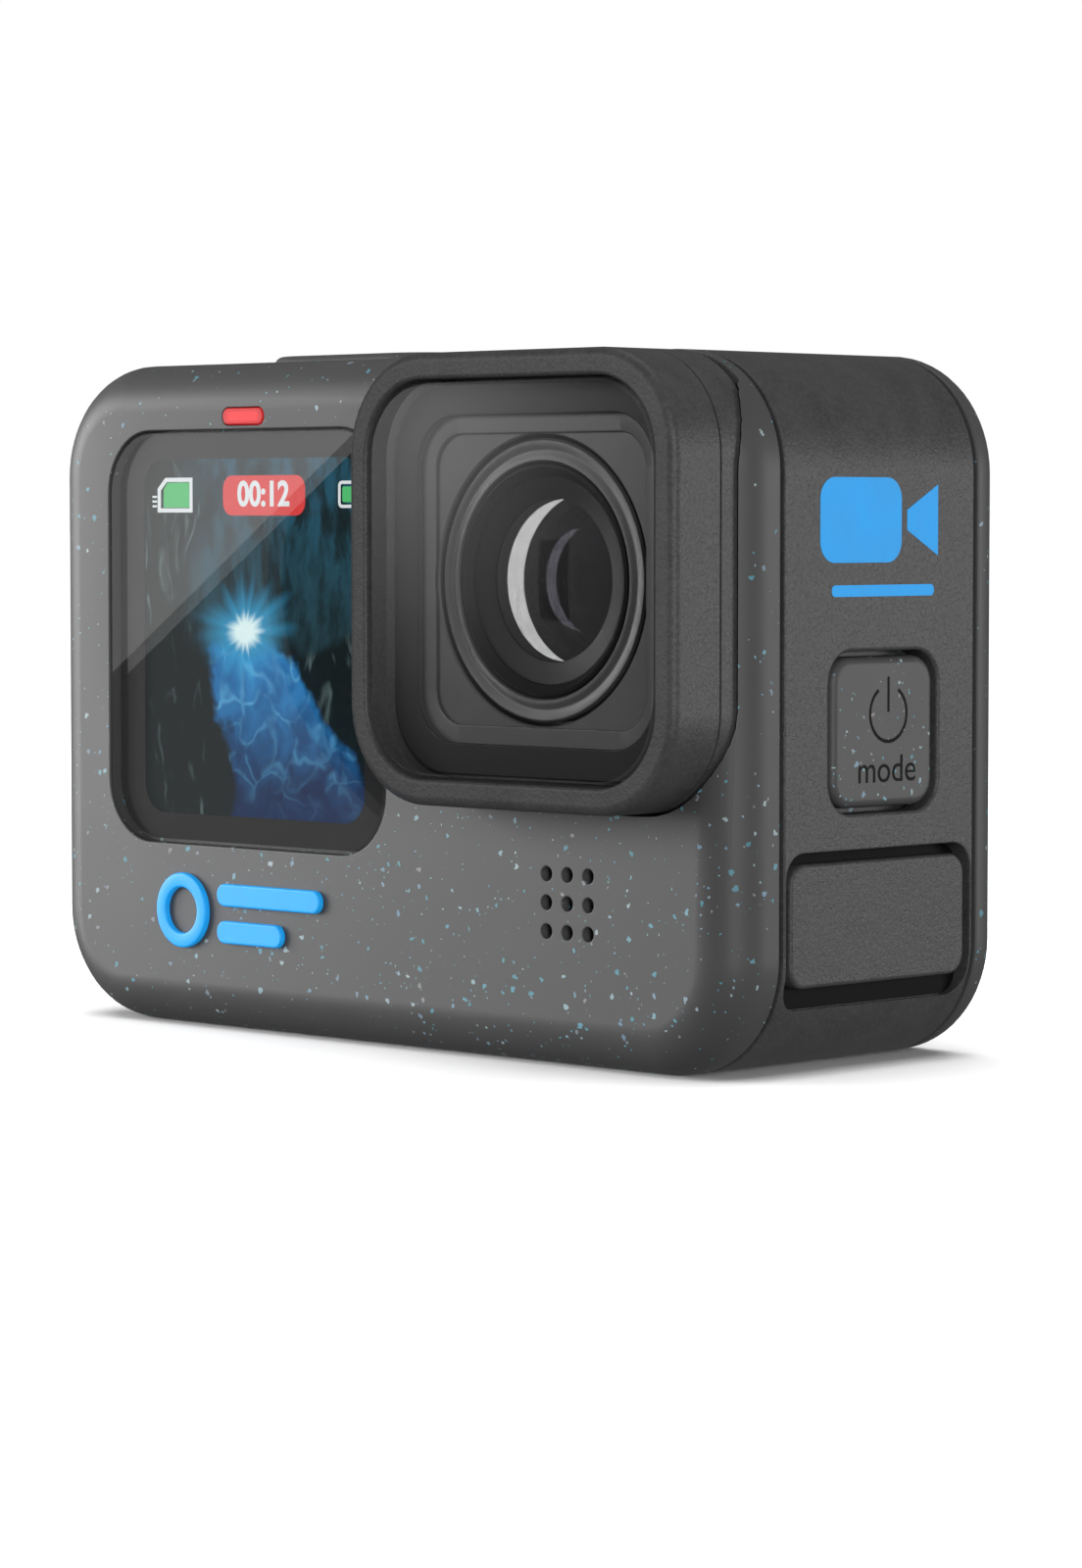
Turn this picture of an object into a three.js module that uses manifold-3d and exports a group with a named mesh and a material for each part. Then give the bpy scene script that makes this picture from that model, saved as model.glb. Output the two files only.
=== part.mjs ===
// Action camera: a rounded square-shouldered body with a turn-off lens cover, two screens,
// a side door, two push buttons and a pair of fold-out mounting fingers under the base.
// Millimetres. +X is the camera's width, +Y runs from the front face to the back, +Z is up.
// The origin is the middle of the box that holds the whole camera, on the surface it stands on.

import * as THREE from "three";
import { mergeVertices } from "three/addons/utils/BufferGeometryUtils.js";
import Module from "manifold-3d";

const wasm = await Module();
wasm.setup();

// ---------------------------------------------------------------- driving dimensions

const BODY_WIDTH = 71.8;
const BODY_HEIGHT = 50.3;
const BODY_CORNER = 8.5;
const FRONT_FACE = -12.0;
const REAR_FACE = 16.8;
const FRONT_FILLET = 3.6;
const REAR_FILLET = 2.6;
const WALL = 1.8;
const FRONT_SEAM = -7.0;
const REAR_SEAM = 13.6;
const SEAM_GAP = 0.3;
const GAP = 0.3;
const FINE_GAP = 0.1;
const PANE_GAP = 0.15;
const MARGIN = 1;

const SIDE = BODY_WIDTH / 2;
const MID_HEIGHT = BODY_HEIGHT / 2;
const INNER_SIDE = SIDE - WALL;
const INNER_TOP = BODY_HEIGHT - WALL;
const INNER_FRONT = FRONT_FACE + WALL;
const INNER_REAR = REAR_FACE - WALL;
const BAND_FRONT = FRONT_SEAM + SEAM_GAP / 2;
const BAND_REAR = REAR_SEAM - SEAM_GAP / 2;
const BAND_MIDDLE = (BAND_FRONT + BAND_REAR) / 2;

// Lens: one optical axis along Y, shared by the cover, the mount, the barrel and the sensor.
const LENS_X = 18.9;
const LENS_Z = 34.3;
const COVER_SIZE = 31.9;
const COVER_CORNER = 7.2;
const COVER_FRONT = -16.8;
const COVER_BACK = FRONT_FACE - 0.15;
const COVER_OPENING = 28.15;
const COVER_OPENING_CORNER = 5.5;
const MOUNT_FRONT = FRONT_FACE - 0.05;
const MOUNT_BACK = -8.9;
const MOUNT_BORE = 13.0;
const MOUNT_GROOVE = 14.3;
const MOUNT_GROOVE_FRONT = -11;
const MOUNT_CLEARANCE = 0.25;
const MOUNT_SEAT = 0.45;
const NECK_OUTER = MOUNT_BORE - 0.25;
const NECK_INNER = 12.2;
const LUG_RADIUS = 14.0;
const LUG_COUNT = 4;
const LUG_ANGLE = THREE.MathUtils.degToRad(24);
const BARREL_RADIUS = 9.9;
const BARREL_FRONT = -13.1;
const LENS_SEGMENTS = 40;

// Front screen, lamp, badge and microphone holes on the front face.
const SCREEN = { x: -13.55, z: 29.6, width: 30.5, height: 31.0, corner: 4.6, thickness: 0.9 };
const LAMP = { x: -13.5, z: 46.22, width: 4.5, height: 1.24 };
const MIC = { x: 20.24, z: 11.68, pitch: 2.03, radius: 0.52, rows: 3 };
const BADGE = { left: -23.1, right: -4.8, low: 6.1, high: 11.8, height: 0.45 };

// Rear screen.
const REAR_SCREEN = { x: 0, z: MID_HEIGHT, width: 60, height: 39.5, corner: 4.5, thickness: 0.9 };

// Right-hand side: mode button and speaker plate.
const MODE = { y: 3.66, z: 23.75, width: 10.8, height: 10.5, corner: 1.9, gap: 0.4 };
const FLANGE = 1;
const SPEAKER = { y: 3.3, z: 10.55, width: 18.6, height: 8.6, corner: 1.5 };
const SPEAKER_RECESS = { y: 3.3, z: 10.15, width: 19.6, height: 10.9, corner: 1.8, floor: 34.5 };

// Top: shutter button.
const SHUTTER = { x: -14.5, y: BAND_MIDDLE, length: 20, width: 9.4, top: 51.1 };

// Left-hand side: door, its hinge along the top edge, and the latch at its foot.
const DOOR = { y: BAND_MIDDLE, z: 25.35, width: 17.2, height: 37.7, corner: 2.6, thickness: 2.4 };
const DOOR_BARREL = DOOR.thickness / 2;
const DOOR_AXIS = { x: -SIDE + DOOR_BARREL, z: DOOR.z + DOOR.height / 2 - DOOR_BARREL };
const LATCH = { y: BAND_MIDDLE, z: 11.8, width: 7.6, height: 3.7, travel: 2.0, depth: 1.2 };

// Base: folding fingers and the tripod thread between them.
const FINGER = { axisX: 3.05, axisZ: 1.55, thickness: 2.9, width: 15, reach: 11, hole: 2.55 };
const KNUCKLE_LENGTH = 2.3;
const ROOT_NOTCH = 4.6;
const INSERT = { radius: 4.3, bore: 3.1, bottom: 0.6, top: 5.8, flange: 6.0, roof: 0.5 };
const BASE_TOP = 4.7;
const PIN_RADIUS = 0.5;
const PIN_HOLE = 0.8;

// Battery.
const BATTERY = { left: -32.2, right: 6.4, front: -0.3, back: 11.5, low: 7.2, high: 40.2 };

// ---------------------------------------------------------------- materials

function finish(hex, roughness, metalness = 0) {
  return new THREE.MeshStandardMaterial({ color: hex, roughness, metalness });
}

const HOUSING = finish(0x3c3d3f, 0.6);
const GRAINED = finish(0x3a3b3c, 0.7);
const BLACK_PLASTIC = finish(0x0d0d0e, 0.45);
const BLACK_GLOSS = finish(0x050506, 0.1);
const SCREEN_GLASS = finish(0x08090b, 0.05);
const LENS_GLASS = finish(0x101014, 0.02);
const DISPLAY = finish(0x0a2a6a, 0.3);
const BLUE_ACCENT = finish(0x2aa0f0, 0.5);
const LAMP_RED = finish(0xe83338, 0.35);
const RUBBER = finish(0x161617, 0.85);
const STEEL = finish(0xa8aaad, 0.3, 1);
const BRASS = finish(0xb08d4a, 0.35, 1);
const CIRCUIT = finish(0x12442c, 0.55);
const ALUMINIUM = finish(0xb9bcc0, 0.4, 1);
const BATTERY_BLUE = finish(0x2c3138, 0.5);
const CARD_BLACK = finish(0x1a1a1c, 0.5);

// ---------------------------------------------------------------- solid helpers

function toSolid(geometry) {
  const bare = geometry.clone();
  bare.deleteAttribute("normal");
  bare.deleteAttribute("uv");
  const merged = mergeVertices(bare, 1e-4);
  return new wasm.Manifold(new wasm.Mesh({
    numProp: 3,
    vertProperties: new Float32Array(merged.attributes.position.array),
    triVerts: new Uint32Array(merged.index.array),
  }));
}

function toGeometry(solid) {
  const { vertProperties, triVerts } = solid.getMesh();
  const geometry = new THREE.BufferGeometry();
  geometry.setAttribute("position", new THREE.Float32BufferAttribute(vertProperties, 3));
  geometry.setIndex(Array.from(triVerts));
  geometry.computeVertexNormals();
  return geometry;
}

// An outline is drawn in the plane that the axis looks along: (x, z) for Y, (y, z) for X, (x, y) for Z.
const TO_AXIS = {
  X: new THREE.Matrix4().makeBasis(
    new THREE.Vector3(0, 1, 0), new THREE.Vector3(0, 0, 1), new THREE.Vector3(1, 0, 0)),
  Y: new THREE.Matrix4().makeBasis(
    new THREE.Vector3(1, 0, 0), new THREE.Vector3(0, 0, 1), new THREE.Vector3(0, -1, 0)),
  Z: new THREE.Matrix4(),
};

function roundedRect(u, v, width, height, radius) {
  const right = u + width / 2;
  const left = u - width / 2;
  const top = v + height / 2;
  const bottom = v - height / 2;
  const quarter = Math.PI / 2;
  const shape = new THREE.Shape();
  shape.moveTo(right, bottom + radius);
  shape.lineTo(right, top - radius);
  shape.absarc(right - radius, top - radius, radius, 0, quarter);
  shape.lineTo(left + radius, top);
  shape.absarc(left + radius, top - radius, radius, quarter, 2 * quarter);
  shape.lineTo(left, bottom + radius);
  shape.absarc(left + radius, bottom + radius, radius, 2 * quarter, 3 * quarter);
  shape.lineTo(right - radius, bottom);
  shape.absarc(right - radius, bottom + radius, radius, 3 * quarter, 4 * quarter);
  return shape;
}

function disc(u, v, radius) {
  const shape = new THREE.Shape();
  shape.absarc(u, v, radius, 0, 2 * Math.PI);
  return shape;
}

// Extrudes an outline from one station to another along an axis, with an optional rounded edge.
// The segments are those of each arc, and ExtrudeGeometry gives an arc two for each one it is asked.
function prism(axis, outline, from, to, { segments = 4, fillet = 0, filletSegments = 2 } = {}) {
  const geometry = new THREE.ExtrudeGeometry(outline, {
    depth: to - from - 2 * fillet,
    curveSegments: segments / 2,
    bevelEnabled: fillet > 0,
    bevelThickness: fillet,
    bevelSize: fillet,
    bevelOffset: -fillet,
    bevelSegments: filletSegments,
  });
  geometry.translate(0, 0, fillet);
  geometry.applyMatrix4(TO_AXIS[axis]);
  const offset = { X: [from, 0, 0], Y: [0, to, 0], Z: [0, 0, from] }[axis];
  geometry.translate(...offset);
  return toSolid(geometry);
}

function box(x0, x1, y0, y1, z0, z1) {
  const geometry = new THREE.BoxGeometry(x1 - x0, y1 - y0, z1 - z0);
  geometry.translate((x0 + x1) / 2, (y0 + y1) / 2, (z0 + z1) / 2);
  return toSolid(geometry);
}

// Turns a profile of [radius, y] points about the optical axis, or about another Y axis.
function turned(profile, { x = LENS_X, z = LENS_Z, segments = LENS_SEGMENTS } = {}) {
  const points = profile.map(([radius, y]) => new THREE.Vector2(radius, y));
  const onAxis = points[0].x === 0 && points[points.length - 1].x === 0;
  if (!onAxis) points.push(points[0].clone());
  const geometry = new THREE.LatheGeometry(points, segments);
  geometry.translate(x, 0, z);
  return toSolid(geometry);
}

function rod(x, z, radius, from, to, segments = 10) {
  return turned([[0, from], [radius, from], [radius, to], [0, to]], { x, z, segments });
}

function union(solids) {
  return solids.reduce((whole, piece) => whole.add(piece));
}

function cut(body, ...tools) {
  return tools.reduce((left, tool) => left.subtract(tool), body);
}

const camera = new THREE.Group();

function place(name, solid, material) {
  const mesh = new THREE.Mesh(toGeometry(solid), material);
  mesh.name = name;
  camera.add(mesh);
}

// ---------------------------------------------------------------- body shells

function bodyBlock(inset, front, rear, fillet, filletSegments) {
  const outline = roundedRect(
    0, MID_HEIGHT, BODY_WIDTH - 2 * inset, BODY_HEIGHT - 2 * inset, BODY_CORNER - inset);
  return prism("Y", outline, front, rear, { segments: 8, fillet, filletSegments });
}

const OUTER_FRONT = bodyBlock(0, FRONT_FACE, REAR_FACE, FRONT_FILLET, 5);
const OUTER_REAR = bodyBlock(0, FRONT_FACE, REAR_FACE, REAR_FILLET, 4);
const CAVITY = bodyBlock(WALL, INNER_FRONT, INNER_REAR, FRONT_FILLET - WALL, 2);

function slice(solid, from, to) {
  return solid.intersect(box(-SIDE - 1, SIDE + 1, from, to, -1, BODY_HEIGHT + 1));
}

function screenPocket(screen, face, depth, border) {
  const { x, z, width, height, corner } = screen;
  const pocket = roundedRect(
    x, z, width + 2 * PANE_GAP, height + 2 * PANE_GAP, corner + PANE_GAP);
  const window = roundedRect(x, z, width - 2 * border, height - 2 * border, corner - border / 2);
  const reach = WALL + MARGIN;
  const [from, to] = face < 0 ? [face - MARGIN, face + depth] : [face - depth, face + MARGIN];
  const [through, out] = face < 0 ? [face - MARGIN, face + reach] : [face - reach, face + MARGIN];
  return prism("Y", pocket, from, to).add(prism("Y", window, through, out));
}

function micHoles() {
  const holes = [];
  const middle = (MIC.rows - 1) / 2;
  for (let row = 0; row < MIC.rows; row += 1) {
    for (let column = 0; column < MIC.rows; column += 1) {
      const x = MIC.x + (column - middle) * MIC.pitch;
      const z = MIC.z + (row - middle) * MIC.pitch;
      holes.push(rod(x, z, MIC.radius, FRONT_FACE - MARGIN, INNER_FRONT + MARGIN));
    }
  }
  return union(holes);
}

const SCREEN_POCKET_DEPTH = 1.15;
const SCREEN_BORDER = 1.6;

function frontHousing() {
  const shell = slice(cut(OUTER_FRONT, CAVITY), FRONT_FACE - 1, FRONT_SEAM - SEAM_GAP / 2);
  const opening = COVER_SIZE + 2 * MOUNT_CLEARANCE;
  const lensOpening = roundedRect(
    LENS_X, LENS_Z, opening, opening, COVER_CORNER + MOUNT_CLEARANCE);
  const lampHole = roundedRect(
    LAMP.x, LAMP.z, LAMP.width + 2 * FINE_GAP, LAMP.height + 2 * FINE_GAP,
    LAMP.height / 2 + FINE_GAP / 2);
  return cut(
    shell,
    prism("Y", lensOpening, FRONT_FACE - MARGIN, MOUNT_BACK + MOUNT_SEAT, { segments: 8 }),
    screenPocket(SCREEN, FRONT_FACE, SCREEN_POCKET_DEPTH, SCREEN_BORDER),
    prism("Y", lampHole, FRONT_FACE - MARGIN, INNER_FRONT + MARGIN),
    micHoles());
}

function rearCover() {
  const shell = slice(cut(OUTER_REAR, CAVITY), REAR_SEAM + SEAM_GAP / 2, REAR_FACE + 1);
  return cut(shell, screenPocket(REAR_SCREEN, REAR_FACE, SCREEN_POCKET_DEPTH, SCREEN_BORDER));
}

// The door has round corners at its foot and square ones at the hinge, so that it can swing
// out of an opening of the same outline, a little larger all round.
function doorOutline(grow) {
  const { y, z, width, height, corner } = DOOR;
  const near = y - width / 2 - grow;
  const far = y + width / 2 + grow;
  const top = z + height / 2 + grow;
  const bottom = z - height / 2 - grow;
  const radius = corner + grow;
  const shape = new THREE.Shape();
  shape.moveTo(far, top);
  shape.lineTo(near, top);
  shape.lineTo(near, bottom + radius);
  shape.absarc(near + radius, bottom + radius, radius, Math.PI, 1.5 * Math.PI);
  shape.lineTo(far - radius, bottom);
  shape.absarc(far - radius, bottom + radius, radius, -0.5 * Math.PI, 0);
  return shape;
}

function doorOpening() {
  return prism("X", doorOutline(GAP), -SIDE - 1, -INNER_SIDE + 2, { segments: 4 });
}

function fingerOutline(side, grow) {
  const { axisX, width, reach } = FINGER;
  const radius = width / 2 + grow;
  const inner = axisX - FINGER.thickness / 2 - grow;
  const shape = new THREE.Shape();
  shape.moveTo(inner, BAND_MIDDLE - radius);
  shape.lineTo(axisX + reach, BAND_MIDDLE - radius);
  shape.absarc(axisX + reach, BAND_MIDDLE, radius, -Math.PI / 2, Math.PI / 2);
  shape.lineTo(inner, BAND_MIDDLE + radius);
  const solid = prism("Z", shape, -1, FINGER.axisZ + FINGER.thickness / 2 + grow, { segments: 14 });
  return side > 0 ? solid : solid.mirror([1, 0, 0]);
}

function pinStations() {
  const end = BAND_MIDDLE + FINGER.width / 2;
  const start = end - KNUCKLE_LENGTH;
  return [[start, end], [2 * BAND_MIDDLE - end, 2 * BAND_MIDDLE - start]];
}

const PIN_REACH = 1.3;

function fingerPinHoles() {
  const [back, front] = pinStations();
  const holes = [];
  for (const side of [-1, 1]) {
    const x = side * FINGER.axisX;
    holes.push(rod(x, FINGER.axisZ, PIN_HOLE, back[1] - 1, back[1] + PIN_REACH + GAP));
    holes.push(rod(x, FINGER.axisZ, PIN_HOLE, front[0] - PIN_REACH - GAP, front[0] + 1));
  }
  return union(holes);
}

const BASE_HALF_LENGTH = 24;
const SPEAKER_BACKING = { thickness: 1.6, overlap: 0.3, low: 6.3, high: 17 };
const SOUND_SLOT = { pitch: 2.2, length: 10, height: 1.1, corner: 0.5, from: 30 };

function speakerSlots() {
  const { pitch, length, height, corner, from } = SOUND_SLOT;
  return [-1, 0, 1].map((row) => prism(
    "X", roundedRect(SPEAKER.y, SPEAKER.z + row * pitch, length, height, corner), from, SIDE,
    { segments: 2 }));
}

function middleFrame() {
  const band = slice(cut(OUTER_REAR, CAVITY), BAND_FRONT, BAND_REAR);
  const baseBlock = box(
    -BASE_HALF_LENGTH, BASE_HALF_LENGTH, BAND_FRONT, BAND_REAR, WALL / 2, BASE_TOP);
  const { thickness, overlap, low, high } = SPEAKER_BACKING;
  const speakerBacking = box(
    SPEAKER_RECESS.floor - thickness, INNER_SIDE + overlap, BAND_FRONT + overlap,
    BAND_REAR - overlap, low, high);
  const modeHole = roundedRect(
    MODE.y, MODE.z, MODE.width + 2 * MODE.gap, MODE.height + 2 * MODE.gap, MODE.corner + MODE.gap);
  const recess = roundedRect(
    SPEAKER_RECESS.y, SPEAKER_RECESS.z, SPEAKER_RECESS.width, SPEAKER_RECESS.height,
    SPEAKER_RECESS.corner);
  const shutterHole = roundedRect(
    SHUTTER.x, SHUTTER.y, SHUTTER.length + 2 * GAP, SHUTTER.width + 2 * GAP,
    SHUTTER.width / 2 + GAP);
  const hingePinHole = rod(
    DOOR_AXIS.x, DOOR_AXIS.z, PIN_HOLE, DOOR.y - DOOR.width / 2 - PIN_REACH,
    DOOR.y + DOOR.width / 2 + PIN_REACH);
  return cut(
    union([band, baseBlock, speakerBacking]),
    prism("X", modeHole, INNER_SIDE - MARGIN, SIDE + MARGIN),
    prism("X", recess, SPEAKER_RECESS.floor, SIDE + MARGIN),
    ...speakerSlots(),
    prism("Z", shutterHole, INNER_TOP - MARGIN, BODY_HEIGHT + MARGIN, { segments: 8 }),
    doorOpening(),
    hingePinHole,
    fingerOutline(1, GAP),
    fingerOutline(-1, GAP),
    prism("Z", disc(0, BAND_MIDDLE, INSERT.radius + GAP), -MARGIN, BASE_TOP + MARGIN,
      { segments: 24 }),
    fingerPinHoles());
}

// ---------------------------------------------------------------- front face pieces

const PANE_POLISH = 0.15;
const FRONT_DISPLAY_DEPTH = 1.25;
const DISPLAY_THICKNESS = 2.4;
const LAMP_PROUD = 0.05;
const LAMP_BACK = -9.4;
const BADGE_RECESS = 0.03;
const BADGE_LINE = 1.1;
const BADGE_BAR = { gap: 1.2, height: 1.7, corner: 0.8, inset: 0.6, shortfall: 4.2 };
const MIC_MESH = { size: 7.4, corner: 1, thickness: 0.2 };
const MIC_CAPSULE = { radius: 3.2, front: 0.5, back: 1.9 };

function glassPane(screen, front) {
  const { x, z, width, height, corner, thickness } = screen;
  return prism("Y", roundedRect(x, z, width, height, corner), front, front + thickness,
    { segments: 6, fillet: PANE_POLISH, filletSegments: 1 });
}

function displayPanel(screen, front, thickness) {
  const border = SCREEN_BORDER + GAP;
  const outline = roundedRect(
    screen.x, screen.z, screen.width - 2 * border, screen.height - 2 * border,
    screen.corner - SCREEN_BORDER / 2);
  return prism("Y", outline, front, front + thickness);
}

function frontFacePieces() {
  place("front_glass", glassPane(SCREEN, FRONT_FACE + FINE_GAP / 2), SCREEN_GLASS);
  const display = displayPanel(SCREEN, FRONT_FACE + FRONT_DISPLAY_DEPTH, DISPLAY_THICKNESS);
  place("front_display", display, DISPLAY);
  const lamp = roundedRect(LAMP.x, LAMP.z, LAMP.width, LAMP.height, LAMP.height / 2 - 0.01);
  place("status_lamp", prism("Y", lamp, FRONT_FACE - LAMP_PROUD, LAMP_BACK, { segments: 6 }),
    LAMP_RED);

  const badgeBack = FRONT_FACE - BADGE_RECESS;
  const badgeFront = FRONT_FACE - BADGE.height;
  const ringRadius = (BADGE.high - BADGE.low) / 2;
  const ringX = BADGE.left + ringRadius;
  const ringZ = (BADGE.high + BADGE.low) / 2;
  const ring = turned(
    [[ringRadius - BADGE_LINE, badgeFront], [ringRadius, badgeFront],
      [ringRadius, badgeBack], [ringRadius - BADGE_LINE, badgeBack]],
    { x: ringX, z: ringZ, segments: 28 });
  place("badge_ring", ring, BLUE_ACCENT);
  const { gap, height, corner, inset, shortfall } = BADGE_BAR;
  const barLeft = BADGE.left + 2 * ringRadius + gap;
  const rise = height / 2 + inset;
  const bars = [
    { name: "badge_bar_upper", right: BADGE.right, z: BADGE.high - rise },
    { name: "badge_bar_lower", right: BADGE.right - shortfall, z: BADGE.low + rise },
  ];
  for (const { name, right, z } of bars) {
    const outline = roundedRect((barLeft + right) / 2, z, right - barLeft, height, corner);
    place(name, prism("Y", outline, badgeFront, badgeBack, { segments: 4 }), BLUE_ACCENT);
  }

  const meshOutline = roundedRect(MIC.x, MIC.z, MIC_MESH.size, MIC_MESH.size, MIC_MESH.corner);
  const meshFront = INNER_FRONT + FINE_GAP / 2;
  place("mic_mesh", prism("Y", meshOutline, meshFront, meshFront + MIC_MESH.thickness),
    BLACK_PLASTIC);
  const capsule = rod(MIC.x, MIC.z, MIC_CAPSULE.radius, INNER_FRONT + MIC_CAPSULE.front,
    INNER_FRONT + MIC_CAPSULE.back, 24);
  place("microphone", capsule, STEEL);
}

// ---------------------------------------------------------------- lens

function squareFrame(size, corner, from, to, options) {
  return prism("Y", roundedRect(LENS_X, LENS_Z, size, size, corner), from, to, options);
}

function ringAt(inner, outer, from, to, segments) {
  return turned([[inner, from], [outer, from], [outer, to], [inner, to]], { segments });
}

function sector(radius, from, to, start, angle) {
  const shape = new THREE.Shape();
  shape.moveTo(LENS_X, LENS_Z);
  shape.absarc(LENS_X, LENS_Z, radius, start, start + angle);
  shape.lineTo(LENS_X, LENS_Z);
  return prism("Y", shape, from, to, { segments: 4 });
}

function around(count, make) {
  return union(Array.from({ length: count }, (_, i) => make((i * 2 * Math.PI) / count)));
}

const SCREW_OFFSET = 11.3;
const SCREW_RADIUS = 0.7;
const BRACKET_FRONT = -8.6;
const BRACKET_BACK = -7.8;
const LUG = { front: -10.7, back: -9.3 };
const NECK_BACK = -9.2;
const STEPS = [{ size: 23.1, corner: 3.8, depth: -13.5 }, { size: 20.5, corner: 3.2, depth: -13.2 }];
const BAFFLE = { front: -14.1, back: -12.95 };
const COVER_PANE = { inset: 0.2, front: 0.25, back: 1.15 };

function screwPlaces() {
  return [[1, 1], [-1, 1], [-1, -1], [1, -1]].map(
    ([u, v]) => [LENS_X + u * SCREW_OFFSET, LENS_Z + v * SCREW_OFFSET]);
}

// The square collar that the cover turns on: a bore with four gates for the cover's lugs, and
// a wider groove behind it that the lugs turn into.
function lensMount() {
  const gate = LUG_ANGLE + THREE.MathUtils.degToRad(4);
  const eighthTurn = Math.PI / 4;
  const screwHoles = screwPlaces().map(([x, z]) => rod(x, z, SCREW_RADIUS + 0.2, -11.5, -8));
  return cut(
    squareFrame(COVER_SIZE, COVER_CORNER, MOUNT_FRONT, MOUNT_BACK, { segments: 8 }),
    prism("Y", disc(LENS_X, LENS_Z, MOUNT_BORE), MOUNT_FRONT - MARGIN, 0,
      { segments: LENS_SEGMENTS }),
    prism("Y", disc(LENS_X, LENS_Z, MOUNT_GROOVE), MOUNT_GROOVE_FRONT, 0,
      { segments: LENS_SEGMENTS }),
    around(LUG_COUNT, (turn) => sector(
      MOUNT_GROOVE, MOUNT_FRONT - MARGIN, 0, turn + eighthTurn - gate / 2, gate)),
    ...screwHoles);
}

function coverRing() {
  const shell = cut(
    squareFrame(COVER_SIZE, COVER_CORNER, COVER_FRONT, COVER_BACK + 2,
      { segments: 8, fillet: 0.5, filletSegments: 3 }),
    squareFrame(COVER_OPENING, COVER_OPENING_CORNER, COVER_FRONT - 1, COVER_BACK - 0.6,
      { segments: 6 }),
    prism("Y", disc(LENS_X, LENS_Z, NECK_INNER), COVER_FRONT - 1, 0, { segments: LENS_SEGMENTS }),
    box(0, SIDE + 2, COVER_BACK, 0, 0, BODY_HEIGHT + 2));
  const neck = ringAt(NECK_INNER, NECK_OUTER, COVER_BACK - GAP, NECK_BACK);
  const lugs = cut(
    around(LUG_COUNT, (turn) => sector(
      LUG_RADIUS, LUG.front, LUG.back, turn - LUG_ANGLE / 2, LUG_ANGLE)),
    prism("Y", disc(LENS_X, LENS_Z, (NECK_INNER + NECK_OUTER) / 2), -12, -8,
      { segments: LENS_SEGMENTS }));
  return union([shell, neck, lugs]);
}

function coverBaffle() {
  return cut(
    squareFrame(COVER_OPENING - 2 * GAP, COVER_OPENING_CORNER - GAP, BAFFLE.front, BAFFLE.back),
    ...STEPS.map(({ size, corner, depth }) => squareFrame(
      size, corner, BAFFLE.front - MARGIN, depth)),
    prism("Y", disc(LENS_X, LENS_Z, BARREL_RADIUS + GAP), BAFFLE.front - MARGIN, 0,
      { segments: LENS_SEGMENTS }));
}

// A lens element as a turned solid: a front and a back surface, each with its own sag.
function lensElement(radius, front, back, frontSag, backSag) {
  const steps = 4;
  const surface = (rim, sag) => Array.from({ length: steps + 1 }, (_, i) => {
    const r = (radius * i) / steps;
    return [r, rim + sag * (1 - (r / radius) ** 2)];
  });
  const profile = [...surface(front, -frontSag), ...surface(back, backSag).reverse()];
  return turned(profile, { segments: 20 });
}

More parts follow.
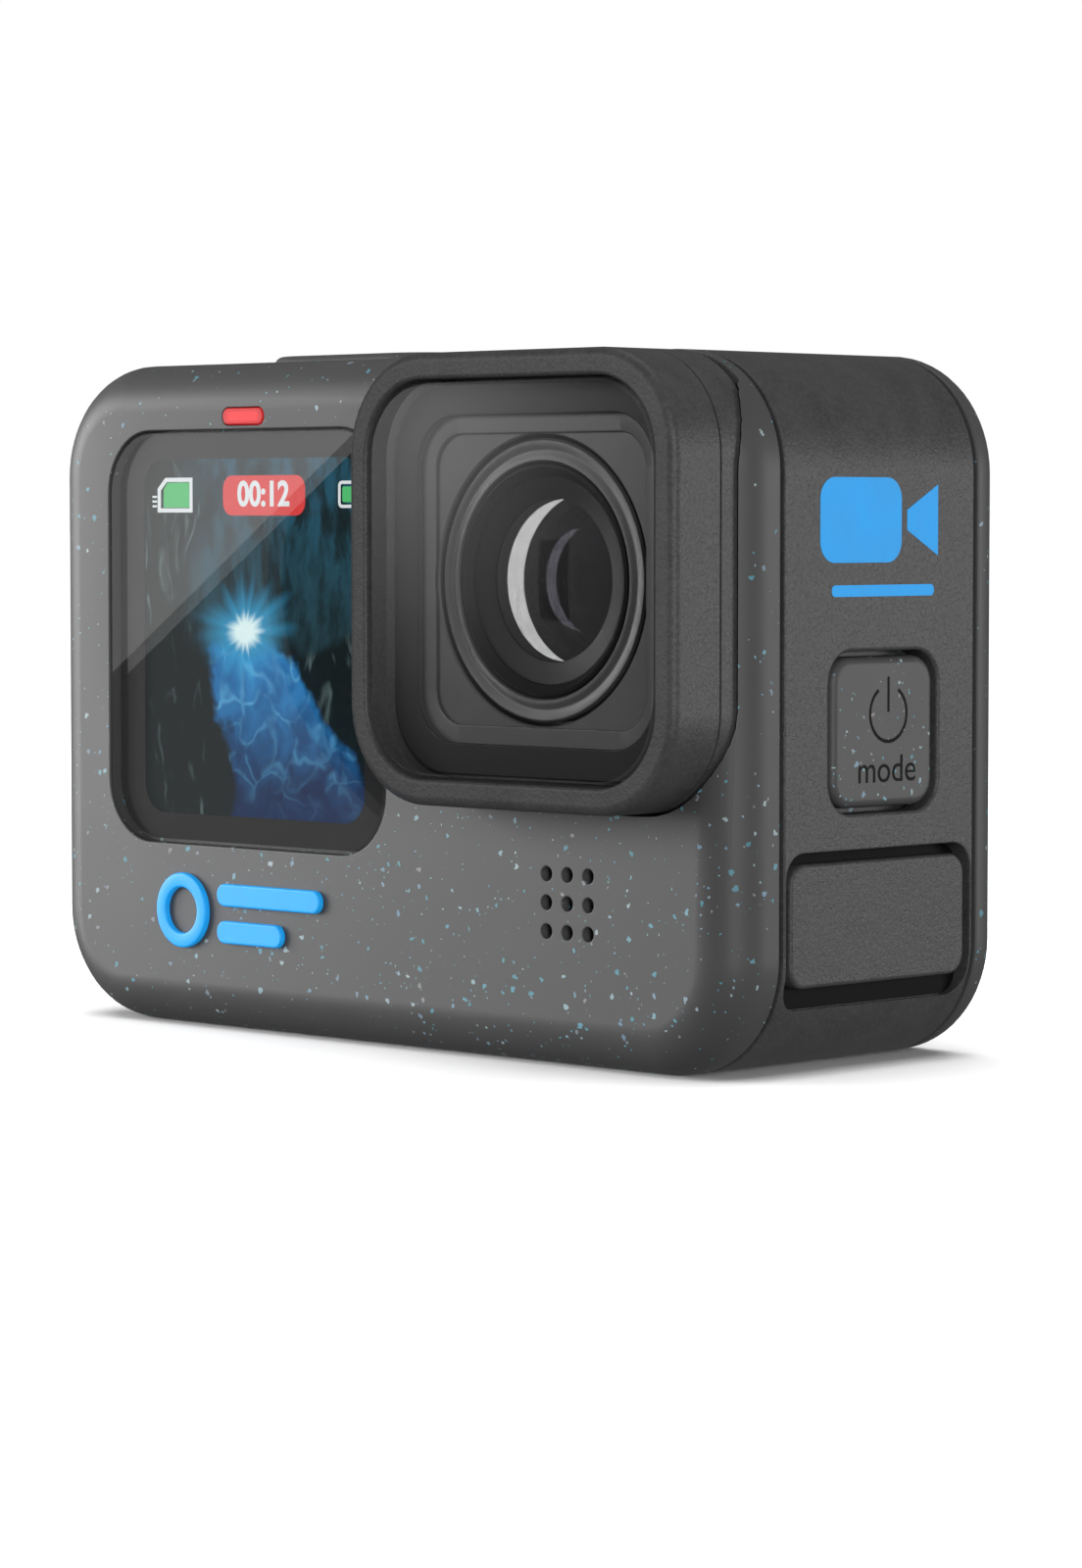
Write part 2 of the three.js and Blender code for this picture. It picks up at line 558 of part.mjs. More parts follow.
function lensPieces() {
  place("cover_ring", coverRing(), GRAINED);
  place("cover_glass", squareFrame(
    COVER_OPENING - 2 * COVER_PANE.inset, COVER_OPENING_CORNER - COVER_PANE.inset,
    COVER_FRONT + COVER_PANE.front, COVER_FRONT + COVER_PANE.back,
    { segments: 6, fillet: COVER_PANE.inset, filletSegments: 1 }), LENS_GLASS);
  place("cover_baffle", coverBaffle(), BLACK_PLASTIC);
  place("cover_seal", ringAt(11.2, NECK_INNER - 0.15, -10.6, -9.4), RUBBER);
  place("lens_mount", lensMount(), GRAINED);

  const bracket = cut(
    squareFrame(28, 6.5, BRACKET_FRONT, BRACKET_BACK),
    prism("Y", disc(LENS_X, LENS_Z, 9.1), -10, 0, { segments: LENS_SEGMENTS }),
    ...screwPlaces().map(([x, z]) => rod(x, z, SCREW_RADIUS + 0.3, -10, -6)));
  place("lens_bracket", bracket, ALUMINIUM);
  screwPlaces().forEach(([x, z], i) => {
    const screw = union([
      rod(x, z, SCREW_RADIUS, -11.2, -7.2), rod(x, z, 1.3, -7.5, -6.9, 16)]);
    const slot = box(x - 0.9, x + 0.9, -7.15, -6.5, z - 0.2, z + 0.2);
    place(`lens_screw_${i + 1}`, cut(screw, slot), STEEL);
  });

  place("lens_barrel", turned([
    [8.3, BARREL_FRONT], [BARREL_RADIUS, BARREL_FRONT], [BARREL_RADIUS, -8.9], [8.8, -8.9],
    [8.8, 5.2], [5.4, 5.2], [5.4, -8.4], [7.1, -8.4], [7.1, -10.6], [8.3, -10.6]]), BLACK_PLASTIC);
  place("lens_retainer", turned([
    [7.9, BARREL_FRONT], [8.1, BARREL_FRONT + 0.1], [8.1, -10.9], [6.95, -10.9], [6.95, -11.35],
    [7.3, -12.0]]), BLACK_GLOSS);
  place("front_element", lensElement(6.8, -11.2, -9.3, 2.0, -0.9), LENS_GLASS);
  place("aperture_stop", ringAt(1.8, 5.2, -4.6, -4.1, 32), BLACK_PLASTIC);
  place("middle_element", lensElement(5.1, -7.3, -6.0, 0.8, 0.6), LENS_GLASS);
  place("rear_element", lensElement(5.1, -2.2, -0.4, 0.9, 0.7), LENS_GLASS);
  const sensor = union([
    prism("Y", roundedRect(LENS_X, LENS_Z, 9, 7.6, 0.4), 5.5, 6.3, { segments: 2 }),
    prism("Y", roundedRect(LENS_X, LENS_Z, 6.6, 5.2, 0.2), 5.35, 5.8, { segments: 2 })]);
  place("image_sensor", sensor, BLACK_GLOSS);
  const board = union([
    prism("Y", roundedRect(LENS_X, LENS_Z, 19, 21, 1.5), 6.9, 7.7, { segments: 2 }),
    box(LENS_X - 4, LENS_X + 4, 7.5, 8.6, LENS_Z - 4, LENS_Z + 4),
    box(LENS_X - 9, LENS_X - 6, 7.5, 8.3, LENS_Z - 7, LENS_Z + 7)]);
  place("sensor_board", board, CIRCUIT);
}

// ---------------------------------------------------------------- rear face pieces

function rearPieces() {
  const { thickness } = REAR_SCREEN;
  place("rear_glass", glassPane(REAR_SCREEN, REAR_FACE - thickness - FINE_GAP / 2), SCREEN_GLASS);
  place("rear_display", displayPanel(REAR_SCREEN, REAR_FACE - 2.9, 1.6), DISPLAY);
}

// ---------------------------------------------------------------- right-hand side

const MODE_FLANGE = { back: INNER_SIDE - 1.3, front: INNER_SIDE - 0.4 };
const MODE_NUB = { radius: 1.5, back: INNER_SIDE - 2.2 };
const MODE_ROUND = 0.6;
const MODE_SEAL = { width: 13.6, height: 13.2, corner: 2.4, back: 30.2, front: 30.8 };
const MODE_SWITCH = { half: 2.7, back: 28.7, front: 29.9, dome: 1.2, top: 30.1 };
const DRIVER = { back: 28.9, front: 32.4, halfLength: 7, halfHeight: 4, cone: 3.2, top: 32.6 };

function modeButton() {
  const cap = roundedRect(MODE.y, MODE.z, MODE.width, MODE.height, MODE.corner);
  const flange = roundedRect(
    MODE.y, MODE.z, MODE.width + 2 * FLANGE, MODE.height + 2 * FLANGE, MODE.corner);
  return union([
    prism("X", cap, MODE_FLANGE.back - FINE_GAP, SIDE - FINE_GAP / 2,
      { segments: 5, fillet: MODE_ROUND }),
    prism("X", flange, MODE_FLANGE.back, MODE_FLANGE.front),
    prism("X", disc(MODE.y, MODE.z, MODE_NUB.radius), MODE_NUB.back, INNER_SIDE - 1,
      { segments: 16 })]);
}

function speakerPlate() {
  const { y, z, width, height, corner } = SPEAKER;
  const plate = prism("X", roundedRect(y, z, width, height, corner),
    SPEAKER_RECESS.floor + 2 * FINE_GAP, SIDE + MARGIN, { segments: 4 });
  const skin = bodyBlock(FINE_GAP, FRONT_FACE, REAR_FACE, 1, 1);
  return plate.intersect(skin);
}

function rightSidePieces() {
  place("mode_button", modeButton(), HOUSING);
  const seal = roundedRect(MODE.y, MODE.z, MODE_SEAL.width, MODE_SEAL.height, MODE_SEAL.corner);
  place("mode_seal", prism("X", seal, MODE_SEAL.back, MODE_SEAL.front), RUBBER);
  const { half, back, front, dome, top } = MODE_SWITCH;
  place("mode_switch", union([
    box(back, front, MODE.y - half, MODE.y + half, MODE.z - half, MODE.z + half),
    prism("X", disc(MODE.y, MODE.z, dome), front - FINE_GAP, top, { segments: 16 })]), STEEL);
  place("speaker_plate", speakerPlate(), GRAINED);
  place("speaker", union([
    box(DRIVER.back, DRIVER.front, SPEAKER.y - DRIVER.halfLength, SPEAKER.y + DRIVER.halfLength,
      SPEAKER.z - DRIVER.halfHeight, SPEAKER.z + DRIVER.halfHeight),
    prism("X", disc(SPEAKER.y, SPEAKER.z, DRIVER.cone), DRIVER.front - FINE_GAP, DRIVER.top,
      { segments: 20 })]), STEEL);
}

// ---------------------------------------------------------------- top

const SHUTTER_CAP = { bottom: 46.6, round: 0.7 };
const SHUTTER_FLANGE = { bottom: INNER_TOP - 1.7, top: INNER_TOP - 0.4 };
const SHUTTER_MARK = { outer: 2.9, inner: 2.3, depth: 0.2 };
const SHUTTER_SEAL = { bottom: 44.8, top: 45.4 };
const SHUTTER_SWITCH = { half: 3, bottom: 43.0, top: 44.2, dome: 1.2, tip: 44.5 };

function topPieces() {
  const { x, y, length, width, top } = SHUTTER;
  const round = { segments: 6, fillet: SHUTTER_CAP.round, filletSegments: 2 };
  const cap = prism(
    "Z", roundedRect(x, y, length, width, width / 2 - FINE_GAP), SHUTTER_CAP.bottom, top, round);
  const around = roundedRect(x, y, length + 2 * FLANGE, width + 2 * FLANGE, width / 2);
  const flange = prism(
    "Z", around, SHUTTER_FLANGE.bottom, SHUTTER_FLANGE.top, { segments: 8 });
  const { outer, inner, depth } = SHUTTER_MARK;
  const ringMark = cut(
    prism("Z", disc(x, y, outer), top - depth, top + MARGIN, { segments: 24 }),
    prism("Z", disc(x, y, inner), top - 2 * depth, top + 2 * MARGIN, { segments: 24 }));
  place("shutter_button", cut(union([cap, flange]), ringMark), HOUSING);
  place("shutter_seal", prism("Z", around, SHUTTER_SEAL.bottom, SHUTTER_SEAL.top), RUBBER);
  const { half, bottom, top: body, dome, tip } = SHUTTER_SWITCH;
  place("shutter_switch", union([
    box(x - half, x + half, y - half, y + half, bottom, body),
    prism("Z", disc(x, y, dome), body - FINE_GAP, tip, { segments: 16 })]), STEEL);
}

// ---------------------------------------------------------------- left-hand side

const LATCH_POCKET_CORNER = 0.8;
const LATCH_PLATE = { corner: 0.6, outside: 0.25, inside: 0.9 };
const LATCH_RIB = { outside: 0.02, inside: 0.4, halfLength: 2.6, halfHeight: 0.25, pitch: 1 };
const GASKET = { inset: 1.5, lip: 0.9, drop: 1.6, thickness: 0.5 };
const USB = { y: -3.5, z: 34.5, width: 3.2, height: 9, corner: 1.5, front: -32.2, back: -25 };
const USB_WALL = 0.3;
const USB_CLEARANCE = 0.4;
const USB_TONGUE = { halfWidth: 0.35, halfHeight: 3.3, front: -31.4, back: -25.5 };
const BEZEL = { y: 3.3, z: 24.9, width: 17.4, height: 37.2, corner: 2.4, front: -32.7, back: -31.9 };
const BAY = { wall: 0.7, corner: 1.5 };
const CELL = { corner: 1.2, round: 0.4 };
const PULL_TAB = { out: 0.75, gap: 0.3, near: 3.2, far: 8.0, low: 20, high: 27.4 };
const CARD = { y: -3.0, low: 12, high: 23, front: -32.6, back: -18, half: 0.4 };
const SOCKET = { front: -31.4, back: -16, half: 1.1, slotHalf: 0.7, shell: 1.2, clearance: 0.3 };

function sideDoor() {
  const { y, width, thickness } = DOOR;
  const near = y - width / 2;
  const far = y + width / 2;
  const slab = cut(
    prism("X", doorOutline(0), -SIDE - MARGIN, -SIDE + thickness, { segments: 4 }),
    box(-SIDE - 2 * MARGIN, -SIDE + thickness + MARGIN, near - MARGIN, far + MARGIN,
      DOOR_AXIS.z, BODY_HEIGHT));
  const barrel = rod(DOOR_AXIS.x, DOOR_AXIS.z, DOOR_BARREL, near, far, 24);
  const skin = bodyBlock(0, FRONT_FACE, REAR_FACE, 1, 1);
  const pocket = roundedRect(
    LATCH.y, LATCH.z + LATCH.travel / 2, LATCH.width + 2 * GAP,
    LATCH.height + LATCH.travel + 2 * GAP, LATCH_POCKET_CORNER);
  const bore = rod(DOOR_AXIS.x, DOOR_AXIS.z, PIN_HOLE, y - width, y + width);
  return cut(
    slab.add(barrel).intersect(skin),
    prism("X", pocket, -SIDE - MARGIN, -SIDE + LATCH.depth, { segments: 2 }),
    bore);
}

function doorLatch() {
  const { y, z, width, height } = LATCH;
  const plate = prism("X", roundedRect(y, z, width, height, LATCH_PLATE.corner),
    -SIDE + LATCH_PLATE.outside, -SIDE + LATCH_PLATE.inside, { segments: 2 });
  const { outside, inside, halfLength, halfHeight, pitch } = LATCH_RIB;
  const ribs = [-pitch, 0, pitch].map((row) => box(
    -SIDE + outside, -SIDE + inside, y - halfLength, y + halfLength,
    z + row - halfHeight, z + row + halfHeight));
  return union([plate, ...ribs]);
}

function doorGasket() {
  const { y, z, width, height, corner } = DOOR;
  const { inset, lip, drop, thickness } = GASKET;
  const outer = roundedRect(y, z - drop, width - 2 * inset, height - 2 * (inset + drop), corner);
  const inner = roundedRect(
    y, z - drop, width - 2 * (inset + lip), height - 2 * (inset + lip + drop), corner - lip);
  const front = -SIDE + DOOR.thickness + FINE_GAP / 2;
  return cut(
    prism("X", outer, front, front + thickness),
    prism("X", inner, front - MARGIN, front + MARGIN));
}

function usbPort() {
  const { y, z, width, height, corner, front, back } = USB;
  const bore = roundedRect(
    y, z, width - 2 * USB_WALL, height - 2 * USB_WALL, corner - USB_WALL);
  const shell = cut(
    prism("X", roundedRect(y, z, width, height, corner), front, back),
    prism("X", bore, front - MARGIN, back - MARGIN));
  const { halfWidth, halfHeight, front: tip, back: root } = USB_TONGUE;
  return union([
    shell, box(tip, root, y - halfWidth, y + halfWidth, z - halfHeight, z + halfHeight)]);
}

function portBezel() {
  const { y, z, width, height, corner, front, back } = BEZEL;
  const plate = prism("X", roundedRect(y, z, width, height, corner), front, back);
  const batteryHole = roundedRect(
    (BATTERY.front + BATTERY.back) / 2, (BATTERY.low + BATTERY.high) / 2,
    BATTERY.back - BATTERY.front + 2 * GAP, BATTERY.high - BATTERY.low + 2 * GAP, BAY.corner);
  const usbHole = roundedRect(
    USB.y, USB.z, USB.width + USB_CLEARANCE, USB.height + USB_CLEARANCE,
    USB.corner + USB_CLEARANCE / 2);
  const cardHole = roundedRect(
    CARD.y, (CARD.low + CARD.high) / 2, 2 * SOCKET.slotHalf,
    CARD.high - CARD.low + 2 * USB_CLEARANCE, CARD.half);
  return cut(plate, ...[batteryHole, usbHole, cardHole].map(
    (hole) => prism("X", hole, front - MARGIN, back + MARGIN)));
}

function batteryBay() {
  const { left, right, front, back, low, high } = BATTERY;
  const { wall } = BAY;
  const gap = MARGIN - wall;
  return cut(
    box(left + wall, right + MARGIN, front - MARGIN, back + MARGIN, low - MARGIN, high + MARGIN),
    box(left - MARGIN, right + gap, front - gap, back + gap, low - gap, high + gap));
}

function leftSidePieces() {
  const { left, right, front, back, low, high } = BATTERY;
  place("side_door", sideDoor(), GRAINED);
  place("door_latch", doorLatch(), BLACK_PLASTIC);
  place("door_gasket", doorGasket(), RUBBER);
  const pin = rod(DOOR_AXIS.x, DOOR_AXIS.z, PIN_RADIUS,
    DOOR.y - DOOR.width / 2 - MARGIN, DOOR.y + DOOR.width / 2 + MARGIN);
  place("door_pin", pin, STEEL);

  const cell = prism("X", roundedRect(
    (front + back) / 2, (low + high) / 2, back - front, high - low, CELL.corner), left, right,
  { segments: 2, fillet: CELL.round, filletSegments: 1 });
  place("battery", cell, BATTERY_BLUE);
  place("battery_tab", box(left - PULL_TAB.out, left - PULL_TAB.gap, PULL_TAB.near, PULL_TAB.far,
    PULL_TAB.low, PULL_TAB.high), BLACK_PLASTIC);
  place("battery_bay", batteryBay(), BLACK_PLASTIC);
  place("port_bezel", portBezel(), BLACK_PLASTIC);
  place("usb_c_port", usbPort(), STEEL);

  const { half, slotHalf, shell, clearance } = SOCKET;
  place("microsd_card", box(
    CARD.front, CARD.back, CARD.y - CARD.half, CARD.y + CARD.half, CARD.low, CARD.high),
  CARD_BLACK);
  place("microsd_socket", cut(
    box(SOCKET.front, SOCKET.back, CARD.y - half, CARD.y + half,
      CARD.low - shell, CARD.high + shell),
    box(SOCKET.front - MARGIN, SOCKET.back - MARGIN, CARD.y - slotHalf, CARD.y + slotHalf,
      CARD.low - clearance, CARD.high + clearance)), STEEL);
}

// ---------------------------------------------------------------- boards

const BOARD = { x: -14.2, z: 27, width: 32, height: 37, corner: 1.5, front: -7.6, back: -6.7 };
const CHIPS = [
  { left: -22, right: -13, low: 24, high: 33, top: -5.8 },
  { left: -10, right: -3, low: 12, high: 20, top: -6.0 },
  { left: -10, right: -4, low: 27, high: 36, top: -6.1 },
];
const SPREADER = { x: -6.4, z: 26, width: 15.6, height: 34, corner: 2, front: -5.4, back: -4.6 };

function flatPlate({ x, z, width, height, corner, front, back }) {
  return prism("Y", roundedRect(x, z, width, height, corner), front, back, { segments: 2 });
}

function boardPieces() {
  const chips = CHIPS.map(({ left, right, low, high, top }) => box(
    left, right, BOARD.back - FINE_GAP, top, low, high));
  place("main_board", union([flatPlate(BOARD), ...chips]), CIRCUIT);
  place("heat_spreader", flatPlate(SPREADER), ALUMINIUM);
}

// ---------------------------------------------------------------- base

function finger(side) {
  const { axisX, axisZ, thickness, hole, reach } = FINGER;
  const half = thickness / 2;
  const low = axisZ - half;
  const high = axisZ + half;
  const blade = cut(
    fingerOutline(1, 0),
    box(-MARGIN, axisX, -SIDE, SIDE, -2 * MARGIN, BASE_TOP),
    box(0, SIDE, -SIDE, SIDE, -2 * MARGIN, low));
  const knuckles = pinStations().map(([from, to]) => rod(axisX, axisZ, half, from, to, 20));
  const solid = cut(
    union([blade, ...knuckles]),
    prism("Z", disc(0, BAND_MIDDLE, INSERT.radius + 2 * GAP), -MARGIN, high + MARGIN,
      { segments: 24 }),
    box(0, ROOT_NOTCH, BAND_MIDDLE - ROOT_NOTCH, BAND_MIDDLE + ROOT_NOTCH,
      -MARGIN, high + MARGIN),
    prism("Z", disc(axisX + reach, BAND_MIDDLE, hole), -MARGIN, high + MARGIN,
      { segments: 20 }),
    rod(axisX, axisZ, PIN_HOLE, -SIDE, SIDE));
  return side > 0 ? solid : solid.mirror([1, 0, 0]);
}

function basePieces() {
  place("finger_right", finger(1), BLACK_PLASTIC);
  place("finger_left", finger(-1), BLACK_PLASTIC);
  const [back, front] = pinStations();
  let number = 1;
  for (const side of [-1, 1]) {
    for (const [from, to] of [[back[0], back[1] + PIN_REACH], [front[0] - PIN_REACH, front[1]]]) {
      place(`finger_pin_${number}`, rod(side * FINGER.axisX, FINGER.axisZ, PIN_RADIUS, from, to),
        STEEL);
      number += 1;
    }
  }
  const { radius, bore, bottom, top, flange, roof } = INSERT;
  const seat = BASE_TOP + GAP;
  const insert = turned(
    [[bore, bottom], [radius, bottom], [radius, seat], [flange, seat],
      [flange, top], [0, top], [0, top - roof], [bore, top - roof]], { x: 0, z: 0, segments: 32 });
  place("thread_insert", insert.rotate([90, 0, 0]).translate([0, BAND_MIDDLE, 0]), BRASS);
}

// ---------------------------------------------------------------- assembly

place("front_housing", frontHousing(), HOUSING);
place("middle_frame", middleFrame(), GRAINED);
place("rear_cover", rearCover(), HOUSING);
frontFacePieces();
lensPieces();
rearPieces();
rightSidePieces();
topPieces();
leftSidePieces();
boardPieces();
basePieces();

export default camera;
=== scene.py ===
# %% [markdown]
# # An action camera around a fixed frame
#
# A small action camera is a stack of moulded shells, panes of glass and turned lens parts. The packed
# model already says where every part is, so this lesson starts from it: each cell asks the frame for a
# part's box and builds the fine version of that part in the same place.

# %% Load the frame
import math

import bmesh
import bpy
from mathutils import Matrix, Vector


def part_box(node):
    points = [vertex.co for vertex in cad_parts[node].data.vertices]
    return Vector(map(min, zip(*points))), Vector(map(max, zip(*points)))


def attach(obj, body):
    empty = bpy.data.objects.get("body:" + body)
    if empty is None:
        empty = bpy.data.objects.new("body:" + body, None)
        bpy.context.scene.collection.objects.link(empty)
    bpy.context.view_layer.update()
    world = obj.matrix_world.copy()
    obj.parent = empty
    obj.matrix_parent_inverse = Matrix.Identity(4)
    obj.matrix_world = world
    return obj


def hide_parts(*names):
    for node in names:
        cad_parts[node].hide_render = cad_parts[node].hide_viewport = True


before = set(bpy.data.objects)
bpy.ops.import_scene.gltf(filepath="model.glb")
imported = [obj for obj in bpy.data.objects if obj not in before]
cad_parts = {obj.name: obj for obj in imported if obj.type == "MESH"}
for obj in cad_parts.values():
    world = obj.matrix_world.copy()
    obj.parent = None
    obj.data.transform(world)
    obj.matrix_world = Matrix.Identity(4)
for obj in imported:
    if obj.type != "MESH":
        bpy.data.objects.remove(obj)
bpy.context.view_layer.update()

# %% [markdown]
# ## Measuring in millimetres
#
# The parts are millimetres in size, and a boolean cut is more exact on numbers near one than on
# thousandths. So every mesh is made in millimetres and shrunk to metres as its last step. `span` gives a
# part's two corners in millimetres, and everything below is worked out from such spans.

# %% Units and spans
MM = 0.001
X, Y, Z = 0, 1, 2


def span(node):
    low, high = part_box(node)
    return low / MM, high / MM


def middle(node):
    low, high = span(node)
    return (low + high) / 2


front_low, front_high = span("front_housing")
band_low, band_high = span("middle_frame")
BODY_WIDTH = front_high.x - front_low.x
BODY_HEIGHT = front_high.z - front_low.z
MID_HEIGHT = (front_high.z + front_low.z) / 2
SIDE = front_high.x
LENS = middle("front_element")
print("body", round(BODY_WIDTH, 2), "x", round(BODY_HEIGHT, 2),
      "lens axis", tuple(round(v, 2) for v in LENS))

# %% [markdown]
# ## The camera
#
# A long lens keeps the sides of the body nearly parallel, as in a product picture. The camera stands to
# the right of the lens, barely above the middle of the body, and looks past it to the left.

# %% Camera
CAMERA_PLACE = Vector((252.859, -250.465, 38.665))
CAMERA_TARGET = Vector((17.717, -12.03, 19.998))
FOCAL_LENGTH = 109.69

camera_data = bpy.data.cameras.new("camera")
camera_data.lens = FOCAL_LENGTH
camera_data.clip_start = 0.01
camera_data.clip_end = 20
camera = bpy.data.objects.new("camera", camera_data)
camera.location = CAMERA_PLACE * MM
camera.rotation_euler = (CAMERA_TARGET - CAMERA_PLACE).to_track_quat("-Z", "Y").to_euler()
bpy.context.collection.objects.link(camera)
bpy.context.scene.camera = camera
print("camera", round((CAMERA_TARGET - CAMERA_PLACE).length), "mm from its target")

# %% [markdown]
# ## Shader maths as plain expressions
#
# A procedural finish is a small formula: so much base colour, so much speckle, a little bump. Writing it
# with node calls hides the formula, so `Signal` wraps one socket and lets it stand in ordinary Python
# arithmetic. `Finish` holds one material, and its `add` method makes every other kind of node.


# %% Signals and finishes
class Signal:
    """One shader value. Arithmetic on it adds Math nodes."""

    def __init__(self, finish, socket):
        self.finish = finish
        self.socket = socket

    def math(self, operation, *others, clamp=False):
        inputs = {i: value for i, value in enumerate([self, *others])}
        settings = {"operation": operation, "use_clamp": clamp}
        return self.finish.add("ShaderNodeMath", settings, inputs, "Value")

    def __add__(self, other):
        return self.math("ADD", other)

    def __sub__(self, other):
        return self.math("SUBTRACT", other)

    def __rsub__(self, other):
        return (self * -1) + other

    def __mul__(self, other):
        return self.math("MULTIPLY", other)

    def __truediv__(self, other):
        return self.math("DIVIDE", other)

    def __pow__(self, other):
        return self.math("POWER", other)

    __radd__ = __add__
    __rmul__ = __mul__

    def over(self, limit):
        return self.math("GREATER_THAN", limit)

    def under(self, limit):
        return self.math("LESS_THAN", limit)

    def highest(self, other):
        return self.math("MAXIMUM", other)

    def size(self):
        return self.math("ABSOLUTE")

    def ramp(self, start, end):
        """Rises smoothly from 0 at start to 1 at end, or falls if end is the smaller one."""
        low, high, first, last = (start, end, 0, 1) if start < end else (end, start, 1, 0)
        inputs = {"Value": self, "From Min": low, "From Max": high, "To Min": first, "To Max": last}
        return self.finish.add(
            "ShaderNodeMapRange", {"interpolation_type": "SMOOTHSTEP"}, inputs, "Result")


class Finish:
    """One procedural material on a Principled shader."""

    def __init__(self, name, **constants):
        self.material = bpy.data.materials.new(name)
        self.material.use_nodes = True
        self.tree = self.material.node_tree
        self.tree.nodes.clear()
        self.shader = self.tree.nodes.new("ShaderNodeBsdfPrincipled")
        self.output = self.tree.nodes.new("ShaderNodeOutputMaterial")
        self.join(self.shader.outputs["BSDF"], self.output.inputs["Surface"])
        for socket, value in constants.items():
            self.shader.inputs[socket.replace("_", " ")].default_value = value
        place = self.add("ShaderNodeTexCoord", {}, {}, "Object")
        scaled = {"Vector": place, "Scale": (1 / MM,) * 3}
        self.place = self.add("ShaderNodeMapping", {}, scaled, "Vector")

    def join(self, source, target):
        self.tree.links.new(source, target)

    def put(self, value, socket):
        """Sets a socket to a number or colour, or links a signal to it."""
        if isinstance(value, Signal):
            self.join(value.socket, socket)
        else:
            socket.default_value = value

    def add(self, kind, settings, inputs, output):
        node = self.tree.nodes.new(kind)
        stops = settings.get("stops")
        for setting, value in settings.items():
            if setting != "stops":
                setattr(node, setting, value)
        if stops:
            while len(node.color_ramp.elements) < len(stops):
                node.color_ramp.elements.new(0.5)
            for element, (position, colour) in zip(node.color_ramp.elements, stops):
                element.position = position
                element.color = colour
        for name, value in inputs.items():
            self.put(value, node.inputs[name])
        return Signal(self, node.outputs[output])

    def noise(self, grain, detail=2, place=None, output="Fac", roughness=0.5, distortion=0):
        inputs = {"Vector": place or self.place, "Scale": 1 / grain, "Detail": detail,
                  "Roughness": roughness, "Distortion": distortion}
        return self.add("ShaderNodeTexNoise", {}, inputs, output)

    def cells(self, grain, place=None, output="Distance", feature="F1"):
        inputs = {"Vector": place or self.place, "Scale": 1 / grain}
        return self.add("ShaderNodeTexVoronoi", {"feature": feature}, inputs, output)

    def axis(self, number, place=None):
        inputs = {"Vector": place or self.place}
        return self.add("ShaderNodeSeparateXYZ", {}, inputs, "XYZ"[number])

    def moved(self, amount, place=None):
        """The place, shifted by a vector signal or a fixed vector."""
        inputs = {0: place or self.place, 1: amount}
        return self.add("ShaderNodeVectorMath", {"operation": "ADD"}, inputs, "Vector")

    def scaled(self, factors, place=None):
        inputs = {"Vector": place or self.place, "Scale": factors}
        return self.add("ShaderNodeMapping", {}, inputs, "Vector")

    def mix(self, factor, first, second):
        """Blends two colours."""
        inputs = {0: factor, 6: first, 7: second}
        return self.add("ShaderNodeMix", {"data_type": "RGBA"}, inputs, 2)

    def colour(self, value):
        self.put(value, self.shader.inputs["Base Color"])

    def roughness(self, value):
        self.put(value, self.shader.inputs["Roughness"])

    def glow(self, colour, strength):
        self.shader.inputs["Emission Strength"].default_value = strength
        self.put(colour, self.shader.inputs["Emission Color"])

    def bump(self, height, depth):
        """Raises the surface by height times depth, in millimetres."""
        inputs = {"Height": height, "Distance": depth * MM, "Strength": 1.0}
        bumped = self.add("ShaderNodeBump", {}, inputs, "Normal")
        self.put(bumped, self.shader.inputs["Normal"])


def grey(level, tint=(1, 1, 1)):
    return (level * tint[0], level * tint[1], level * tint[2], 1)


print("shader helpers ready")

# %% [markdown]
# ## The moulded finishes
#
# The front shell, the back shell and the two buttons are moulded from recycled plastic: a smooth dark
# grey with chips of white, blue and teal left in it. Chips could be scattered as tiny meshes, but they
# lie flush in the surface, so cells of a Voronoi pattern are the better likeness. A cell becomes a chip
# when its random number is low enough, and a noise bends its outline so that no two chips match.

# %% Speckled plastic
HOUSING_GREY = 0.082
CHIP_COLOURS = [
    (0.0, (0.10, 0.34, 0.42, 1)),
    (0.35, (0.16, 0.44, 0.56, 1)),
    (0.6, (0.52, 0.64, 0.66, 1)),
    (0.8, (0.20, 0.36, 0.52, 1)),
    (1.0, (0.38, 0.33, 0.30, 1)),
]


def chips(finish, cell, radius, share):
    """A mask and a colour for chips scattered one to a cell, in a share of the cells."""
    bend = finish.noise(cell * 0.35, detail=1, output="Color")
    bent = finish.moved(finish.scaled((cell * 0.5,) * 3, bend))
    distance = finish.cells(cell, bent)
    random = finish.cells(cell, bent, "Color")
    chosen = finish.axis(X, random).under(share)
    reach = finish.axis(Y, random) * (radius * 0.75) + radius * 0.25
    mask = (reach - distance).over(0) * chosen
    tint = finish.add(
        "ShaderNodeValToRGB", {"stops": CHIP_COLOURS}, {"Fac": finish.axis(Z, random)}, "Color")
    return mask, tint


def speckled_plastic(name, level=HOUSING_GREY):
    finish = Finish(name, Specular_IOR_Level=0.42)
    cloud = finish.noise(5, detail=3)
    colour = finish.mix(cloud, grey(level * 0.93), grey(level * 1.07))
    crowd = finish.noise(9, detail=1).ramp(0.35, 0.65) * 0.5 + 0.35
    lower = finish.axis(Z).ramp(BODY_HEIGHT, 0) * 0.5 + 0.5
    for cell, radius, share in [(1.05, 0.21, 0.5), (0.55, 0.22, 0.42)]:
        mask, tint = chips(finish, cell, radius, crowd * lower * share * 2)
        colour = finish.mix(mask * 0.8, colour, tint)
    finish.colour(colour)
    fine = finish.noise(0.09, detail=2)
    finish.roughness(cloud * 0.06 + fine * 0.08 + 0.42)
    finish.bump(fine, 0.004)
    return finish.material


